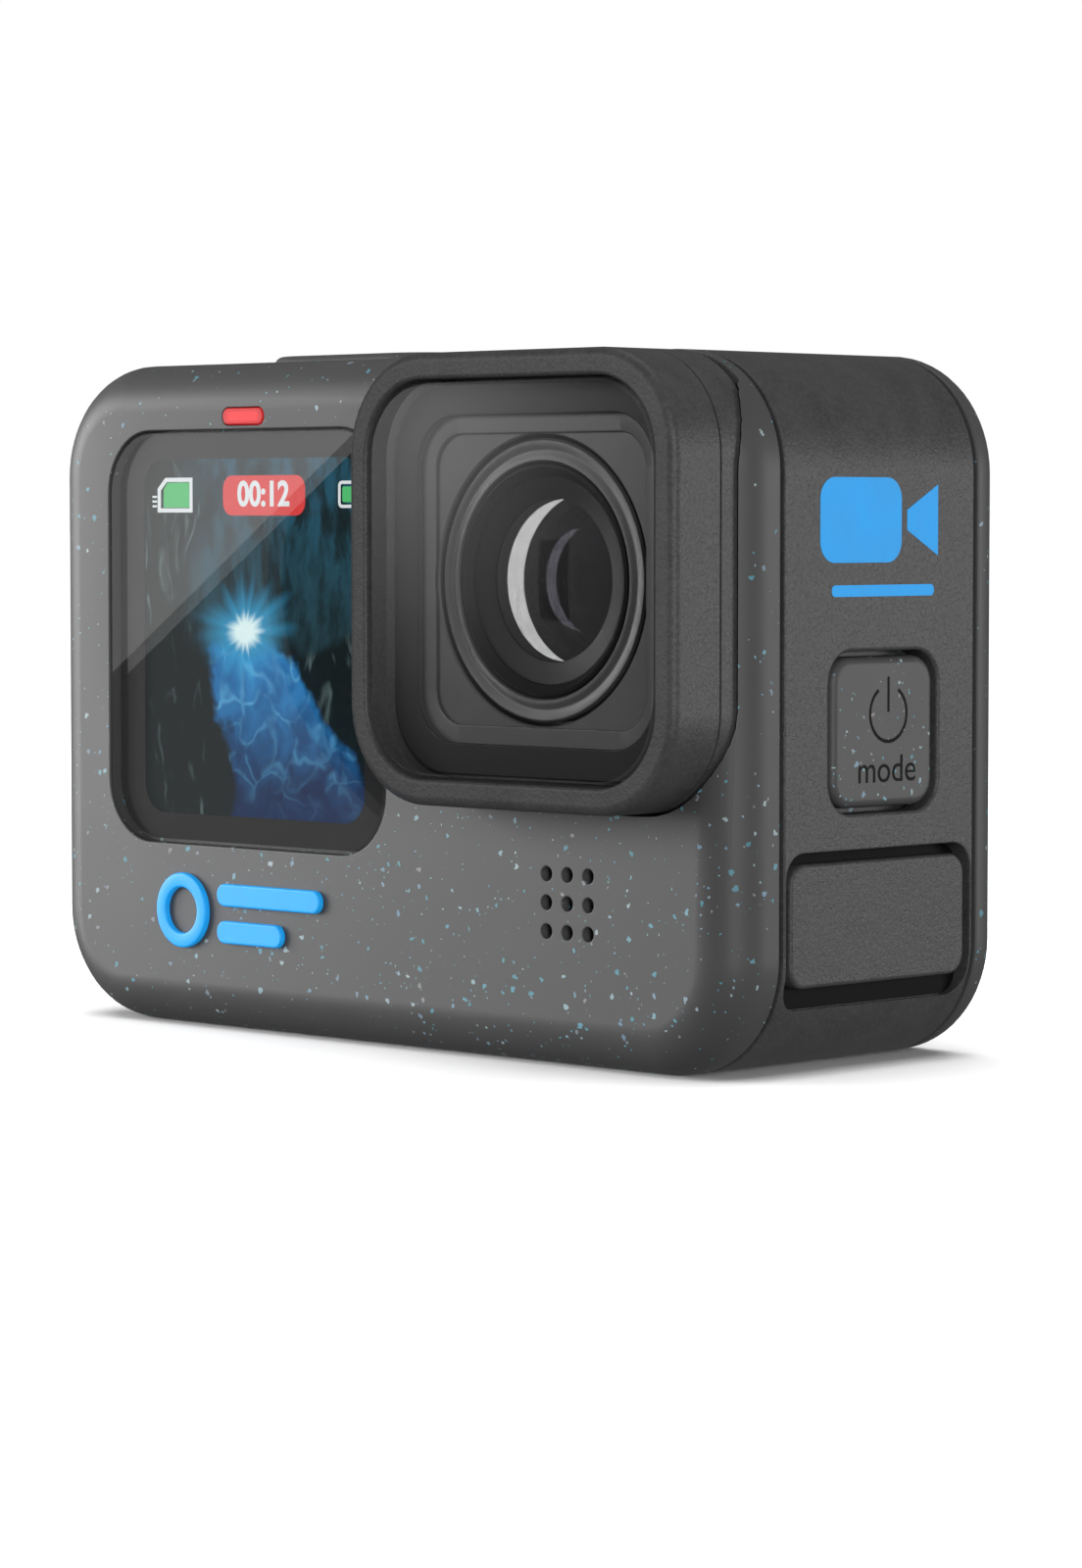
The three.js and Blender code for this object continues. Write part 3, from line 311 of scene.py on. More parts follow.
SPECKLED = speckled_plastic("speckled_plastic")
print("chips in", SPECKLED.name)

# %% [markdown]
# The band round the middle, the lens cover and the speaker plate are moulded in a tool with an etched
# grain, like very fine leather. A distorted noise makes the worm-shaped ridges, a wider one makes the
# soft patches where the etch is deeper, and both only move the surface by hundredths of a millimetre.

# %% Grained plastic
def grained_plastic(name, level=0.062, depth=0.05, wrinkle=0.30):
    finish = Finish(name, Specular_IOR_Level=0.38)
    patches = finish.noise(3.2, detail=4, roughness=0.6)
    ridges = finish.noise(wrinkle, detail=2, distortion=0.9)
    colour = finish.mix(patches.ramp(0.3, 0.7), grey(level * 0.86), grey(level * 1.12))
    # The ridges are coloured lighter than the ground between them.
    lighter_ridges = finish.mix(ridges.ramp(0.35, 0.75) * 0.35, colour, grey(level * 1.9))
    finish.colour(lighter_ridges)
    finish.roughness(patches * 0.1 + ridges * 0.1 + 0.36)
    finish.bump(ridges, depth)
    return finish.material


GRAINED = grained_plastic("grained_plastic")
print("grain in", GRAINED.name)

# %% [markdown]
# Plain black parts still show how they were made: a satin moulding has a faint haze and flow marks, a
# rubber seal is duller and rougher. One recipe with a few numbers covers them all, and it can add a painted
# glow in the part's own colour, which the blue paint and ink get though they are no lamp.


# %% Plain plastics and rubber
def moulded(name, level, roughness, grain=0.08, depth=0.003, tint=(1, 1, 1), specular=0.5, glow=0.0):
    finish = Finish(name, Specular_IOR_Level=specular)
    flow = finish.noise(2.5, detail=3, distortion=0.6)
    fine = finish.noise(grain, detail=2)
    finish.colour(finish.mix(flow, grey(level * 0.85, tint), grey(level * 1.2, tint)))
    finish.roughness(flow * 0.08 + fine * 0.06 + roughness - 0.07)
    finish.bump(fine, depth)
    # Painted glow: the part emits light in its own colour though it is no lamp.
    if glow:
        finish.glow(grey(level, tint), glow)
    return finish.material


BLACK_PLASTIC = moulded("satin_black_plastic", 0.016, 0.42)
BAFFLE_GREY = moulded("baffle_plastic", 0.012, 0.5, grain=0.12, depth=0.001, specular=0.2)
PLATE_GREY = moulded("plate_plastic", 0.048, 0.42, grain=0.12, depth=0.001, specular=0.4)
BARREL_BLACK = moulded("barrel_plastic", 0.006, 0.4, specular=0.2)
GLOSS_BLACK = moulded("gloss_black", 0.008, 0.12, depth=0.0005)
BEZEL_AND_SHADE_BLACK = moulded("screen_mask", 0.006, 0.6, depth=0.0008, specular=0.1)
RUBBER = moulded("seal_rubber", 0.018, 0.75, grain=0.15, depth=0.01, specular=0.3)
CARD_BLACK = moulded("card_plastic", 0.016, 0.5)
BATTERY_WRAP = moulded("battery_wrap", 0.045, 0.38, tint=(0.75, 0.9, 1.2))
# The blue paint and ink get a painted glow, so they stay bright whatever lights them.
ACCENT = (0.02, 0.60, 1.45)
BLUE_PAINT_PAINTED_GLOW = moulded("blue_paint_with_painted_glow", 0.62, 0.42, tint=ACCENT, depth=0.0015, specular=0.35, glow=0.32)
BLUE_INK_PAINTED_GLOW = moulded("blue_ink_with_painted_glow", 0.60, 0.5, tint=ACCENT, depth=0.0015, specular=0.3, glow=0.22)
MARK_BLACK = moulded("engraved_black", 0.008, 0.7, specular=0.2)
print("plain plastics ready")

# %% [markdown]
# The metal parts are hidden until a door or cover opens. Turned and rolled metal is brushed: a noise
# stretched along one axis gives the lines, which show in the roughness and a slight bump.


# %% Metals and circuit boards
def metal(name, colour, roughness, stretch=(1, 8, 1)):
    finish = Finish(name, Metallic=1.0)
    lines = finish.noise(0.12, detail=3, place=finish.scaled(stretch))
    finish.colour(finish.mix(lines, tuple(c * 0.8 for c in colour) + (1,), tuple(colour) + (1,)))
    finish.roughness(lines * 0.2 + roughness - 0.1)
    finish.bump(lines, 0.003)
    return finish.material


def circuit_board(name):
    finish = Finish(name, Specular_IOR_Level=0.5)
    tracks = finish.cells(1.6, output="Distance", feature="DISTANCE_TO_EDGE").under(0.07)
    pads = finish.cells(0.8).under(0.2)
    mask = finish.mix(tracks, (0.010, 0.09, 0.045, 1), (0.03, 0.17, 0.08, 1))
    finish.colour(finish.mix(pads * 0.8, mask, (0.62, 0.56, 0.40, 1)))
    finish.roughness(tracks * 0.1 + 0.35)
    finish.bump(tracks.highest(pads), 0.02)
    return finish.material


STEEL = metal("brushed_steel", (0.58, 0.58, 0.60), 0.32)
BRASS = metal("turned_brass", (0.72, 0.50, 0.20), 0.3, (8, 8, 1))
ALUMINIUM = metal("rolled_aluminium", (0.66, 0.67, 0.69), 0.4, (1, 1, 10))
CIRCUIT = circuit_board("circuit_board")
print("metals ready")

# %% [markdown]
# ## Glass
#
# A pane of glass lets most light straight through and mirrors a little of it, more at a shallow angle.
# A refracting shader would be slow and noisy through ten surfaces, and thin flat panes hardly bend
# light, so each glass is a transparent shader mixed with a glossy one. The mixing factor is Schlick's
# rule, worked out from the Facing value, which is the same from inside and outside.


# %% Clear and coated glass
def clear_glass(name, reflect=0.045, tint=(1, 1, 1), coat=(1, 1, 1), roughness=0.015):
    finish = Finish(name, Roughness=roughness, Metallic=1.0, Base_Color=tuple(coat) + (1,))
    facing = finish.add("ShaderNodeLayerWeight", {}, {"Blend": 0.5}, "Facing")
    smear = finish.noise(4, detail=2) * (reflect * 0.15)
    factor = (facing ** 5) * (1 - reflect) + smear + reflect * 0.92
    clear = finish.add("ShaderNodeBsdfTransparent", {}, {"Color": tuple(tint) + (1,)}, "BSDF")
    shown = Signal(finish, finish.shader.outputs["BSDF"])
    mixed = finish.add("ShaderNodeMixShader", {}, {0: factor, 1: clear, 2: shown}, "Shader")
    finish.put(mixed, finish.output.inputs["Surface"])
    return finish.material


PANE_GLASS = clear_glass("pane_glass", reflect=0.08)
COVER_GLASS = clear_glass("cover_glass_clear", reflect=0.08)
DOME_GLASS = clear_glass("dome_glass", reflect=0.12, tint=(0.42, 0.42, 0.46))
VIOLET_GLASS = clear_glass(
    "violet_coated_glass", reflect=0.3, tint=(0.2, 0.17, 0.22), coat=(0.55, 0.22, 0.75))
print("glasses ready")

# %% [markdown]
# ## Floor and light
#
# The set is a white sweep: a pale floor under a white sky, lit evenly from above so that it stays white
# to the horizon. The camera sees that white, but the body is shaped by softboxes of its own. A wide one
# in front and to the left brightens the face, a narrow one on the right gives the round edges their
# light line, and the sky that the body mirrors is a dim grey, so that black parts stay black.

# %% Floor, sky and softboxes
SKY_GREY = 0.16
scene = bpy.context.scene
scene.view_settings.view_transform = "Standard"

world = bpy.data.worlds.new("white_sweep")
world.use_nodes = True
scene.world = world
sky = world.node_tree
background = sky.nodes["Background"]
seen = sky.nodes.new("ShaderNodeLightPath")
level = sky.nodes.new("ShaderNodeMapRange")
level.inputs["To Min"].default_value = SKY_GREY
level.inputs["To Max"].default_value = 1.0
sky.links.new(seen.outputs["Is Camera Ray"], level.inputs["Value"])
sky.links.new(level.outputs["Result"], background.inputs["Strength"])
background.inputs["Color"].default_value = (1, 1, 1, 1)

floor_bm = bmesh.new()
bmesh.ops.create_circle(floor_bm, cap_ends=True, segments=96, radius=12)
floor_mesh = bpy.data.meshes.new("floor")
floor_bm.to_mesh(floor_mesh)
floor_bm.free()
floor = bpy.data.objects.new("floor", floor_mesh)
bpy.context.collection.objects.link(floor)
floor_finish = Finish("pale_floor", Roughness=0.9, Specular_IOR_Level=0.0)
floor_finish.colour(floor_finish.mix(floor_finish.noise(300, detail=1), grey(0.93), grey(0.95)))
floor_mesh.materials.append(floor_finish.material)
floor.visible_diffuse = False
floor.visible_glossy = False


def only_for(light, *receivers):
    """Lets a light shine on these objects alone."""
    group = bpy.data.collections.new(light.name + "_receivers")
    for receiver in receivers:
        group.objects.link(receiver)
    light.light_linking.receiver_collection = group


def never_on(light, *others):
    """Keeps a light off these objects and leaves it on all the rest."""
    group = bpy.data.collections.new(light.name + "_excluded")
    for other in others:
        group.objects.link(other)
    for link in group.collection_objects:
        link.light_linking.link_state = "EXCLUDE"
    light.light_linking.receiver_collection = group


def softbox(name, place, aim, width, height, strength, colour=(1, 1, 1)):
    """A rectangular light in millimetres. Strength is its brightness as a surface."""
    data = bpy.data.lights.new(name, "AREA")
    data.shape = "RECTANGLE"
    data.size = width * MM
    data.size_y = height * MM
    data.energy = strength * math.pi * (width * MM) * (height * MM)
    data.color = colour
    light = bpy.data.objects.new(name, data)
    light.location = Vector(place) * MM
    light.rotation_euler = (Vector(aim) - Vector(place)).to_track_quat("-Z", "Y").to_euler()
    bpy.context.collection.objects.link(light)
    return light


sun_data = bpy.data.lights.new("floor_light", "SUN")
sun_data.energy = 3.4
sun_data.angle = math.radians(70)
floor_light = bpy.data.objects.new("floor_light", sun_data)
bpy.context.collection.objects.link(floor_light)
only_for(floor_light, floor)

BODY_CENTRE = (0, 0, MID_HEIGHT)
face_box = softbox("face_softbox", (-420, -560, 190), BODY_CENTRE, 520, 460, 2.5)
sheen_box = softbox("sheen_softbox", (-470, -230, 60), BODY_CENTRE, 260, 300, 11.5)
edge_box = softbox("edge_softbox", (480, -300, 60), BODY_CENTRE, 120, 330, 15.0)
side_box = softbox("side_softbox", (400, 360, 36), BODY_CENTRE, 240, 110, 9.5)
softbox("top_softbox", (-60, 120, 620), BODY_CENTRE, 420, 300, 1.6)

# %% [markdown]
# ## Making a moulded shape
#
# Nearly every shell and pane here is the same kind of solid: a rectangle with round corners that rises
# out of a plane, with steps and rounded rims on its way. `raised` makes it from one flat face. The face
# is bevelled at its corners, then each step either extrudes it or insets it while it rises, and a
# quarter circle of small steps makes a rounded rim. `FACING` turns the solid to the side of the camera
# that it belongs to, so a front shell and a side button are made by the same call.

# %% Raised shapes
FACING = {
    "front": Matrix(((1, 0, 0), (0, 0, -1), (0, 1, 0))),
    "back": Matrix(((-1, 0, 0), (0, 0, 1), (0, 1, 0))),
    "right": Matrix(((0, 0, 1), (1, 0, 0), (0, 1, 0))),
    "left": Matrix(((0, 0, -1), (-1, 0, 0), (0, 1, 0))),
    "top": Matrix.Identity(3),
    "bottom": Matrix(((1, 0, 0), (0, -1, 0), (0, 0, -1))),
}
QUARTER = math.pi / 2
TINY = 1e-4


def bevel(bm, parts, radius, segments, affect="EDGES"):
    bmesh.ops.bevel(bm, geom=parts, offset=radius, offset_type="OFFSET", segments=segments,
                    profile=0.5, affect=affect, material=-1, clamp_overlap=True)


def fillet(radius, segments=5):
    """Steps that round the rim of a raised shape."""
    angles = [QUARTER * i / segments for i in range(segments + 1)]
    return [(radius * (math.cos(a) - math.cos(b)), radius * (math.sin(b) - math.sin(a)))
            for a, b in zip(angles, angles[1:])]


def mouth(radius, segments=4):
    """Steps for a cutter that leaves a rounded edge where it enters."""
    return [(rise, inset) for inset, rise in fillet(radius, segments)]


def raised(facing, centre, width, height, corner, steps, segments=10):
    """A closed solid that rises from centre. Steps are (inset, rise) pairs."""
    bm = bmesh.new()
    bmesh.ops.create_grid(bm, x_segments=1, y_segments=1, size=0.5)
    bmesh.ops.scale(bm, vec=(width, height, 1), verts=bm.verts)
    if corner:
        bevel(bm, bm.verts[:], corner, segments, "VERTICES")
        bmesh.ops.remove_doubles(bm, verts=bm.verts, dist=TINY)
    bm.faces.ensure_lookup_table()
    cap = bm.faces[0]
    for inset, rise in steps:
        if inset > TINY:
            bmesh.ops.inset_region(bm, faces=[cap], thickness=inset, depth=rise, use_even_offset=True)
        else:
            cap = bmesh.ops.extrude_discrete_faces(bm, faces=[cap])["faces"][0]
            bmesh.ops.translate(bm, vec=(0, 0, rise), verts=cap.verts)
    rim = [edge for edge in bm.edges if edge.is_boundary]
    bmesh.ops.holes_fill(bm, edges=rim, sides=0)
    bmesh.ops.recalc_face_normals(bm, faces=bm.faces)
    turn = FACING[facing].to_4x4()
    bmesh.ops.transform(bm, matrix=Matrix.Translation(centre) @ turn, verts=bm.verts)
    return bm


def round_rim(bm, axis, place, radius, segments=2):
    """Bevels the rim of the flat end that lies at one place on an axis."""
    rim = [e for e in bm.edges if all(abs(v.co[axis] - place) < 1e-3 for v in e.verts)]
    bevel(bm, rim, radius, segments)
    return bm


def block(low, high):
    bm = bmesh.new()
    low, high = Vector(low), Vector(high)
    bmesh.ops.create_cube(bm, size=1)
    bmesh.ops.scale(bm, vec=high - low, verts=bm.verts)
    bmesh.ops.translate(bm, vec=(low + high) / 2, verts=bm.verts)
    return bm


print("fillet of 1 mm", [(round(a, 2), round(b, 2)) for a, b in fillet(1)])

# %% [markdown]
# Lens parts are turned on a lathe, and so are screws and pins. `turned` draws half of the section as
# points of (radius, place along the axis) and spins it round. A sector is the same idea with a flat
# face that is spun through part of a turn, which makes a bayonet lug or the gate that it goes through.


# %% Turned shapes
def turned(profile, x, z, steps=96, closed=True, axis=Y, y=0):
    """Spins a section about a line along an axis. An open section starts and ends on the line."""
    bm = bmesh.new()
    centre = Vector((x, y, z))
    centre[axis] = 0
    out = Vector((0, 0, 0))
    out[X if axis != X else Y] = 1
    along = Vector((0, 0, 0))
    along[axis] = 1
    verts = [bm.verts.new(centre + out * radius + along * place) for radius, place in profile]
    loop = verts + verts[:1] if closed else verts
    edges = [bm.edges.new(pair) for pair in zip(loop, loop[1:])]
    bmesh.ops.spin(bm, geom=verts + edges, cent=centre, axis=along, angle=2 * math.pi, steps=steps,
                   use_merge=True, use_duplicate=False)
    bmesh.ops.remove_doubles(bm, verts=bm.verts, dist=TINY)
    bmesh.ops.recalc_face_normals(bm, faces=bm.faces)
    return bm


def rod(x, z, radius, start, end, steps=32, axis=Y, y=0):
    return turned([(0, start), (radius, start), (radius, end), (0, end)], x, z, steps, False, axis, y)


def sector(inner, outer, start, end, angle, width, x, z):
    """Part of a ring about a line along Y, width wide and centred on angle, both in degrees."""
    bm = bmesh.new()
    corners = [(inner, start), (outer, start), (outer, end), (inner, end)]
    verts = [bm.verts.new((x + radius, y, z)) for radius, y in corners]
    face = bm.faces.new(verts)
    bmesh.ops.spin(bm, geom=verts + face.edges[:] + [face], cent=(x, 0, z), axis=(0, 1, 0),
                   angle=math.radians(width), steps=8, use_merge=False, use_duplicate=False)
    bmesh.ops.recalc_face_normals(bm, faces=bm.faces)
    turn = Matrix.Rotation(math.radians(angle - width / 2), 3, "Y")
    bmesh.ops.rotate(bm, cent=(x, 0, z), matrix=turn, verts=bm.verts)
    return bm


print("rod volume", round(rod(0, 0, 1, 0, 1).calc_volume(), 3))

# %% [markdown]
# ## Cutting and joining
#
# Holes, recesses and pockets are cut with closed solids, as a toolmaker would sink them. The boolean is
# a modifier on a passing object, and the evaluated result comes back as a new bmesh, so nothing live is
# left on the piece. Cutters that don't touch each other are put in one bmesh first and cut together.


# %% Boolean tools
def together(*shapes):
    """Puts separate solids in one bmesh."""
    whole = bmesh.new()
    for shape in shapes:
        mesh = bpy.data.meshes.new("passing")
        shape.to_mesh(mesh)
        whole.from_mesh(mesh)
        bpy.data.meshes.remove(mesh)
    return whole


def passing(bm):
    mesh = bpy.data.meshes.new("passing")
    bm.to_mesh(mesh)
    obj = bpy.data.objects.new("passing", mesh)
    bpy.context.collection.objects.link(obj)
    return obj


def carved(whole, *tools, operation="DIFFERENCE"):
    """Cuts closed solids out of another, or joins them to it."""
    helpers = [passing(whole)]
    for tool in tools:
        helpers.append(passing(tool))
        modifier = helpers[0].modifiers.new("carve", "BOOLEAN")
        modifier.operation = operation
        modifier.solver = "EXACT"
        modifier.object = helpers[-1]
    result = bmesh.new()
    result.from_object(helpers[0], bpy.context.evaluated_depsgraph_get())
    for helper in helpers:
        mesh = helper.data
        bpy.data.objects.remove(helper)
        bpy.data.meshes.remove(mesh)
    return result


def joined(whole, *others):
    return carved(whole, *others, operation="UNION")


cut_cube = carved(block((0, 0, 0), (2, 2, 2)), block((1, 1, 1), (3, 3, 3)))
print("cut cube volume", round(cut_cube.calc_volume(), 3))

# %% [markdown]
# ## Handing a piece to the frame
#
# A finished bmesh becomes an object at the origin, in metres, that rides on one body of the frame and
# stands for the plain part it improves on. Faces are shaded smooth across the small steps of a round and
# sharp across real edges, and weighted normals keep the large flat faces flat beside them.

# %% Finished pieces
SMOOTH_BELOW = math.radians(32)
made = []


def piece(name, bm, material, body, replaces=(), soften=0.0, smooth_below=SMOOTH_BELOW):
    bmesh.ops.remove_doubles(bm, verts=bm.verts, dist=TINY)
    bmesh.ops.scale(bm, vec=(MM, MM, MM), verts=bm.verts)
    mesh = bpy.data.meshes.new(name)
    bm.to_mesh(mesh)
    bm.free()
    mesh.materials.append(material)
    mesh.shade_smooth()
    mesh.set_sharp_from_angle(angle=smooth_below)
    obj = bpy.data.objects.new(name, mesh)
    bpy.context.collection.objects.link(obj)
    if soften:
        rounding = obj.modifiers.new("soft_edges", "BEVEL")
        rounding.width = soften * MM
        rounding.segments = 2
        rounding.limit_method = "ANGLE"
        rounding.angle_limit = math.radians(40)
        rounding.harden_normals = True
    else:
        weighted = obj.modifiers.new("flat_faces", "WEIGHTED_NORMAL")
        weighted.keep_sharp = True
    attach(obj, body)
    if replaces:
        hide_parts(*replaces)
    made.append(name)
    return obj


print("ready to make pieces")

# %% [markdown]
# ## The front shell
#
# The front shell is one moulding: a tray with large soft rounds, a pocket for the screen, a slot for the
# lamp, nine sound holes and a square opening for the lens. It rises from the seam with the middle band to
# the front face. The inside is the same shape, one wall thickness smaller.

# %% Front shell
CORNER = 8.5
FRONT_ROUND = 3.6
REAR_ROUND = 2.6
WALL = 1.8
SEAM_LIP = 0.22
REACH = 1.0
ROUND_SEGMENTS = 9


def shell(facing, start, depth, rim, inset=0.0):
    """A slice of the body that rises from start to a face with a rounded rim."""
    width, height = BODY_WIDTH - 2 * inset, BODY_HEIGHT - 2 * inset
    steps = [(0, depth - rim), *fillet(rim, ROUND_SEGMENTS)]
    return raised(facing, (0, start, MID_HEIGHT), width, height, CORNER - inset, steps, 16)


PANE_CORNER = 4.6
PANE_GAP = 0.15
POCKET_DEPTH = 1.15
POCKET_BORDER = 1.6


def pane_pocket(node, corner, facing, face, lip=0.12):
    """A cutter for a pane's pocket, with the window through the wall behind it."""
    (low, high), centre = span(node), middle(node)
    outward = -REACH if facing == "back" else REACH
    size = 2 * (PANE_GAP + lip)
    steps = [(0, REACH), *mouth(lip), (0, POCKET_DEPTH - lip), (POCKET_BORDER + PANE_GAP, 0), (0, 2)]
    return raised(facing, (centre.x, face + outward, centre.z), high.x - low.x + size,
                  high.z - low.z + size, corner + PANE_GAP + lip, steps)


MIC_PITCH = 2.03
MIC_RADIUS = 0.52
MIC_LIP = 0.12


def mic_holes():
    centre = middle("mic_mesh")
    size = 2 * (MIC_RADIUS + MIC_LIP)
    steps = [(0, REACH), *mouth(MIC_LIP, 2), (0, 3)]
    return together(*[
        raised("back", (centre.x + i * MIC_PITCH, front_low.y - REACH, centre.z + j * MIC_PITCH),
               size, size, size / 2, steps, 6)
        for i in (-1, 0, 1) for j in (-1, 0, 1)])


def front_shell():
    depth = front_high.y - front_low.y
    outer = round_rim(shell("front", front_high.y, depth, FRONT_ROUND), Y, front_high.y, SEAM_LIP)
    inner = shell("front", front_high.y + REACH, depth + REACH - WALL, FRONT_ROUND - WALL, WALL)
    low, high = span("status_lamp")
    lamp = middle("status_lamp")
    lamp_slot = raised("back", (lamp.x, front_low.y - REACH, lamp.z), high.x - low.x + 0.28,
                       high.z - low.z + 0.28, (high.z - low.z) / 2 + 0.12,
                       [(0, REACH), *mouth(0.07), (0, 3)])
    low, high = span("lens_mount")
    opening = raised("back", (LENS.x, front_low.y - REACH, LENS.z), high.x - low.x + 0.5,
                     high.z - low.z + 0.5, 7.45, [(0, high.y - front_low.y + REACH + 0.45)])
    return carved(outer, inner, together(pane_pocket("front_glass", PANE_CORNER, "back", front_low.y),
                                         lamp_slot, mic_holes()), opening)


piece("front_shell", front_shell(), SPECKLED, "camera_body", ["front_housing"])

# %% [markdown]
# ## The middle band
#
# The band is a plain hoop with everything cut into it: the holes of the mode and shutter buttons, the
# recess over the loudspeaker, the door opening and the bay under the base for the folding fingers. A
# thick base block inside carries the tripod thread and the finger pins.

# %% Middle band
mode_low, mode_high = span("mode_button")
shutter_low, shutter_high = span("shutter_button")
plate_low, plate_high = span("speaker_plate")
door_low, door_high = span("side_door")
finger_low, finger_high = span("finger_right")
BAND_MIDDLE = (band_low.y + band_high.y) / 2
MODE_CENTRE = middle("mode_button")
MODE_FLANGE = 1.0
MODE_WIDTH = mode_high.y - mode_low.y - 2 * MODE_FLANGE
MODE_HEIGHT = mode_high.z - mode_low.z - 2 * MODE_FLANGE
MODE_CORNER = 1.9
MODE_GAP = 0.4
RECESS_FLOOR = 34.5
GAP = 0.3
DOOR_CORNER = 2.6
BASE_TOP = 4.7
FINGER_AXIS_X = 3.05
FINGER_AXIS_Z = 1.55
PIN_BORE = 0.8


def door_slab(grow, outside, depth):
    """The door's outline, with round corners at its foot and square ones at its hinge."""
    centre = middle("side_door")
    start = (-SIDE - outside, centre.y, centre.z)
    width = door_high.y - door_low.y + 2 * grow
    height = door_high.z - door_low.z + 2 * grow
    rounded = raised("right", start, width, height, DOOR_CORNER + grow, [(0, outside + depth)])
    top = block((start[0], centre.y - width / 2, centre.z),
                (-SIDE + depth, centre.y + width / 2, centre.z + height / 2))
    return joined(rounded, top)


def finger_bay(side):
    """The bay under the base for one finger: a straight part and a round end."""
    reach = finger_high.x - (finger_high.y - finger_low.y) / 2
    half = (finger_high.y - finger_low.y) / 2 + GAP
    top = finger_high.z + GAP
    inner = FINGER_AXIS_X - (finger_high.z - finger_low.z) / 2 - GAP
    straight = block((min(side * inner, side * reach), BAND_MIDDLE - half, -REACH),
                     (max(side * inner, side * reach), BAND_MIDDLE + half, top))
    return joined(straight, rod(side * reach, 0, half, -REACH, top, 48, Z, BAND_MIDDLE))


def middle_band():
    depth = band_high.y - band_low.y
    start = (0, band_high.y, MID_HEIGHT)
    hoop = raised("front", start, BODY_WIDTH, BODY_HEIGHT, CORNER, [(0, depth)], 16)
    round_rim(hoop, Y, band_high.y, SEAM_LIP)
    round_rim(hoop, Y, band_low.y, SEAM_LIP)
    inside = raised("front", (0, band_high.y + REACH, MID_HEIGHT), BODY_WIDTH - 2 * WALL,
                    BODY_HEIGHT - 2 * WALL, CORNER - WALL, [(0, depth + 2 * REACH)], 16)
    hoop = carved(hoop, inside)
    base = block((-24, band_low.y + 0.05, WALL / 2), (24, band_high.y - 0.05, BASE_TOP))
    backing = block((RECESS_FLOOR - 1.6, band_low.y + 0.3, 6.3), (SIDE - WALL + 0.3, band_high.y - 0.3, 17))
    whole = joined(joined(hoop, base), backing)
    lip = 0.3
    mode_hole = raised("left", (SIDE + REACH, MODE_CENTRE.y, MODE_CENTRE.z),
                       MODE_WIDTH + 2 * (MODE_GAP + lip), MODE_HEIGHT + 2 * (MODE_GAP + lip),
                       MODE_CORNER + MODE_GAP + lip, [(0, REACH), *mouth(lip), (0, 5)])
    edge = 0.15
    recess = raised("left", (SIDE + REACH, middle("speaker_plate").y, 10.15), 19.6 + 2 * edge,
                    10.9 + 2 * edge, 1.8 + edge, [(0, REACH), *mouth(edge, 2), (0, SIDE - RECESS_FLOOR - edge)])
    slots = together(*[raised("left", (SIDE, BAND_MIDDLE, 10.55 + 2.2 * row), 10, 1.1, 0.5, [(0, 6)])
                       for row in (-1, 0, 1)])
    shutter_hole = raised(
        "bottom", ((shutter_low.x + shutter_high.x) / 2, BAND_MIDDLE, BODY_HEIGHT + REACH),
        shutter_high.x - shutter_low.x - 2 + 2 * GAP + 0.4,
        shutter_high.y - shutter_low.y - 2 + 2 * GAP + 0.4,
        (shutter_high.y - shutter_low.y) / 2 - 1 + GAP + 0.15, [(0, REACH), *mouth(0.2, 3), (0, 4)])
    insert_hole = rod(0, 0, 4.6, -REACH, BASE_TOP + REACH, 48, Z, BAND_MIDDLE)
    pins = together(*[rod(side * FINGER_AXIS_X, FINGER_AXIS_Z, PIN_BORE, y0, y1, 20)
                      for side in (-1, 1) for y0, y1 in ((-5.8, -3.2), (9.8, 12.4))])
    hinge = rod(-SIDE + 1.2, door_high.z - 1.2, PIN_BORE, door_low.y - 1.3, door_high.y + 1.3, 20)
    return carved(whole, mode_hole, recess, slots, shutter_hole, door_slab(GAP, REACH, 3.8), hinge,
                  finger_bay(1), finger_bay(-1), insert_hole, pins)


piece("middle_band", middle_band(), GRAINED, "camera_body", ["middle_frame"])

# %% [markdown]
# ## The rear shell and the panes
#
# The rear shell is a shallow tray with a smaller round and one large pocket. Each screen is a pane of
# toughened glass with a tiny polished bevel, a black mask printed round its underside, and a lit display
# a millimetre below it.

# %% Rear shell and panes
rear_low, rear_high = span("rear_cover")


def rear_shell():
    depth = rear_high.y - rear_low.y
    outer = round_rim(shell("back", rear_low.y, depth, REAR_ROUND), Y, rear_low.y, SEAM_LIP)
    inner = shell("back", rear_low.y - REACH, depth + REACH - WALL, REAR_ROUND - WALL, WALL)
    return carved(outer, inner, pane_pocket("rear_glass", 4.5, "front", rear_high.y))


def pane(node, facing, corner, polish=0.15):
    (low, high), centre = span(node), middle(node)
    start = high.y if facing == "front" else low.y
    steps = [(0, high.y - low.y - polish), *fillet(polish, 3)]
    return raised(facing, (centre.x, start, centre.z), high.x - low.x, high.z - low.z, corner, steps)


def screen_mask(node, facing, start, thickness, window, corner=2.2):
    """A black frame printed under a pane. The window is its opening's low and high corner."""
    (low, high), centre = span(node), middle(node)
    plate = raised(facing, (centre.x, start, centre.z), high.x - low.x - 0.2, high.z - low.z - 0.2,
                   PANE_CORNER - 0.2, [(0, thickness)])
    (x0, z0), (x1, z1) = window
    through = raised(facing, ((x0 + x1) / 2, start + (1 if facing == "front" else -1), (z0 + z1) / 2),
                     x1 - x0, z1 - z0, corner, [(0, thickness + 2)])
    return carved(plate, through)


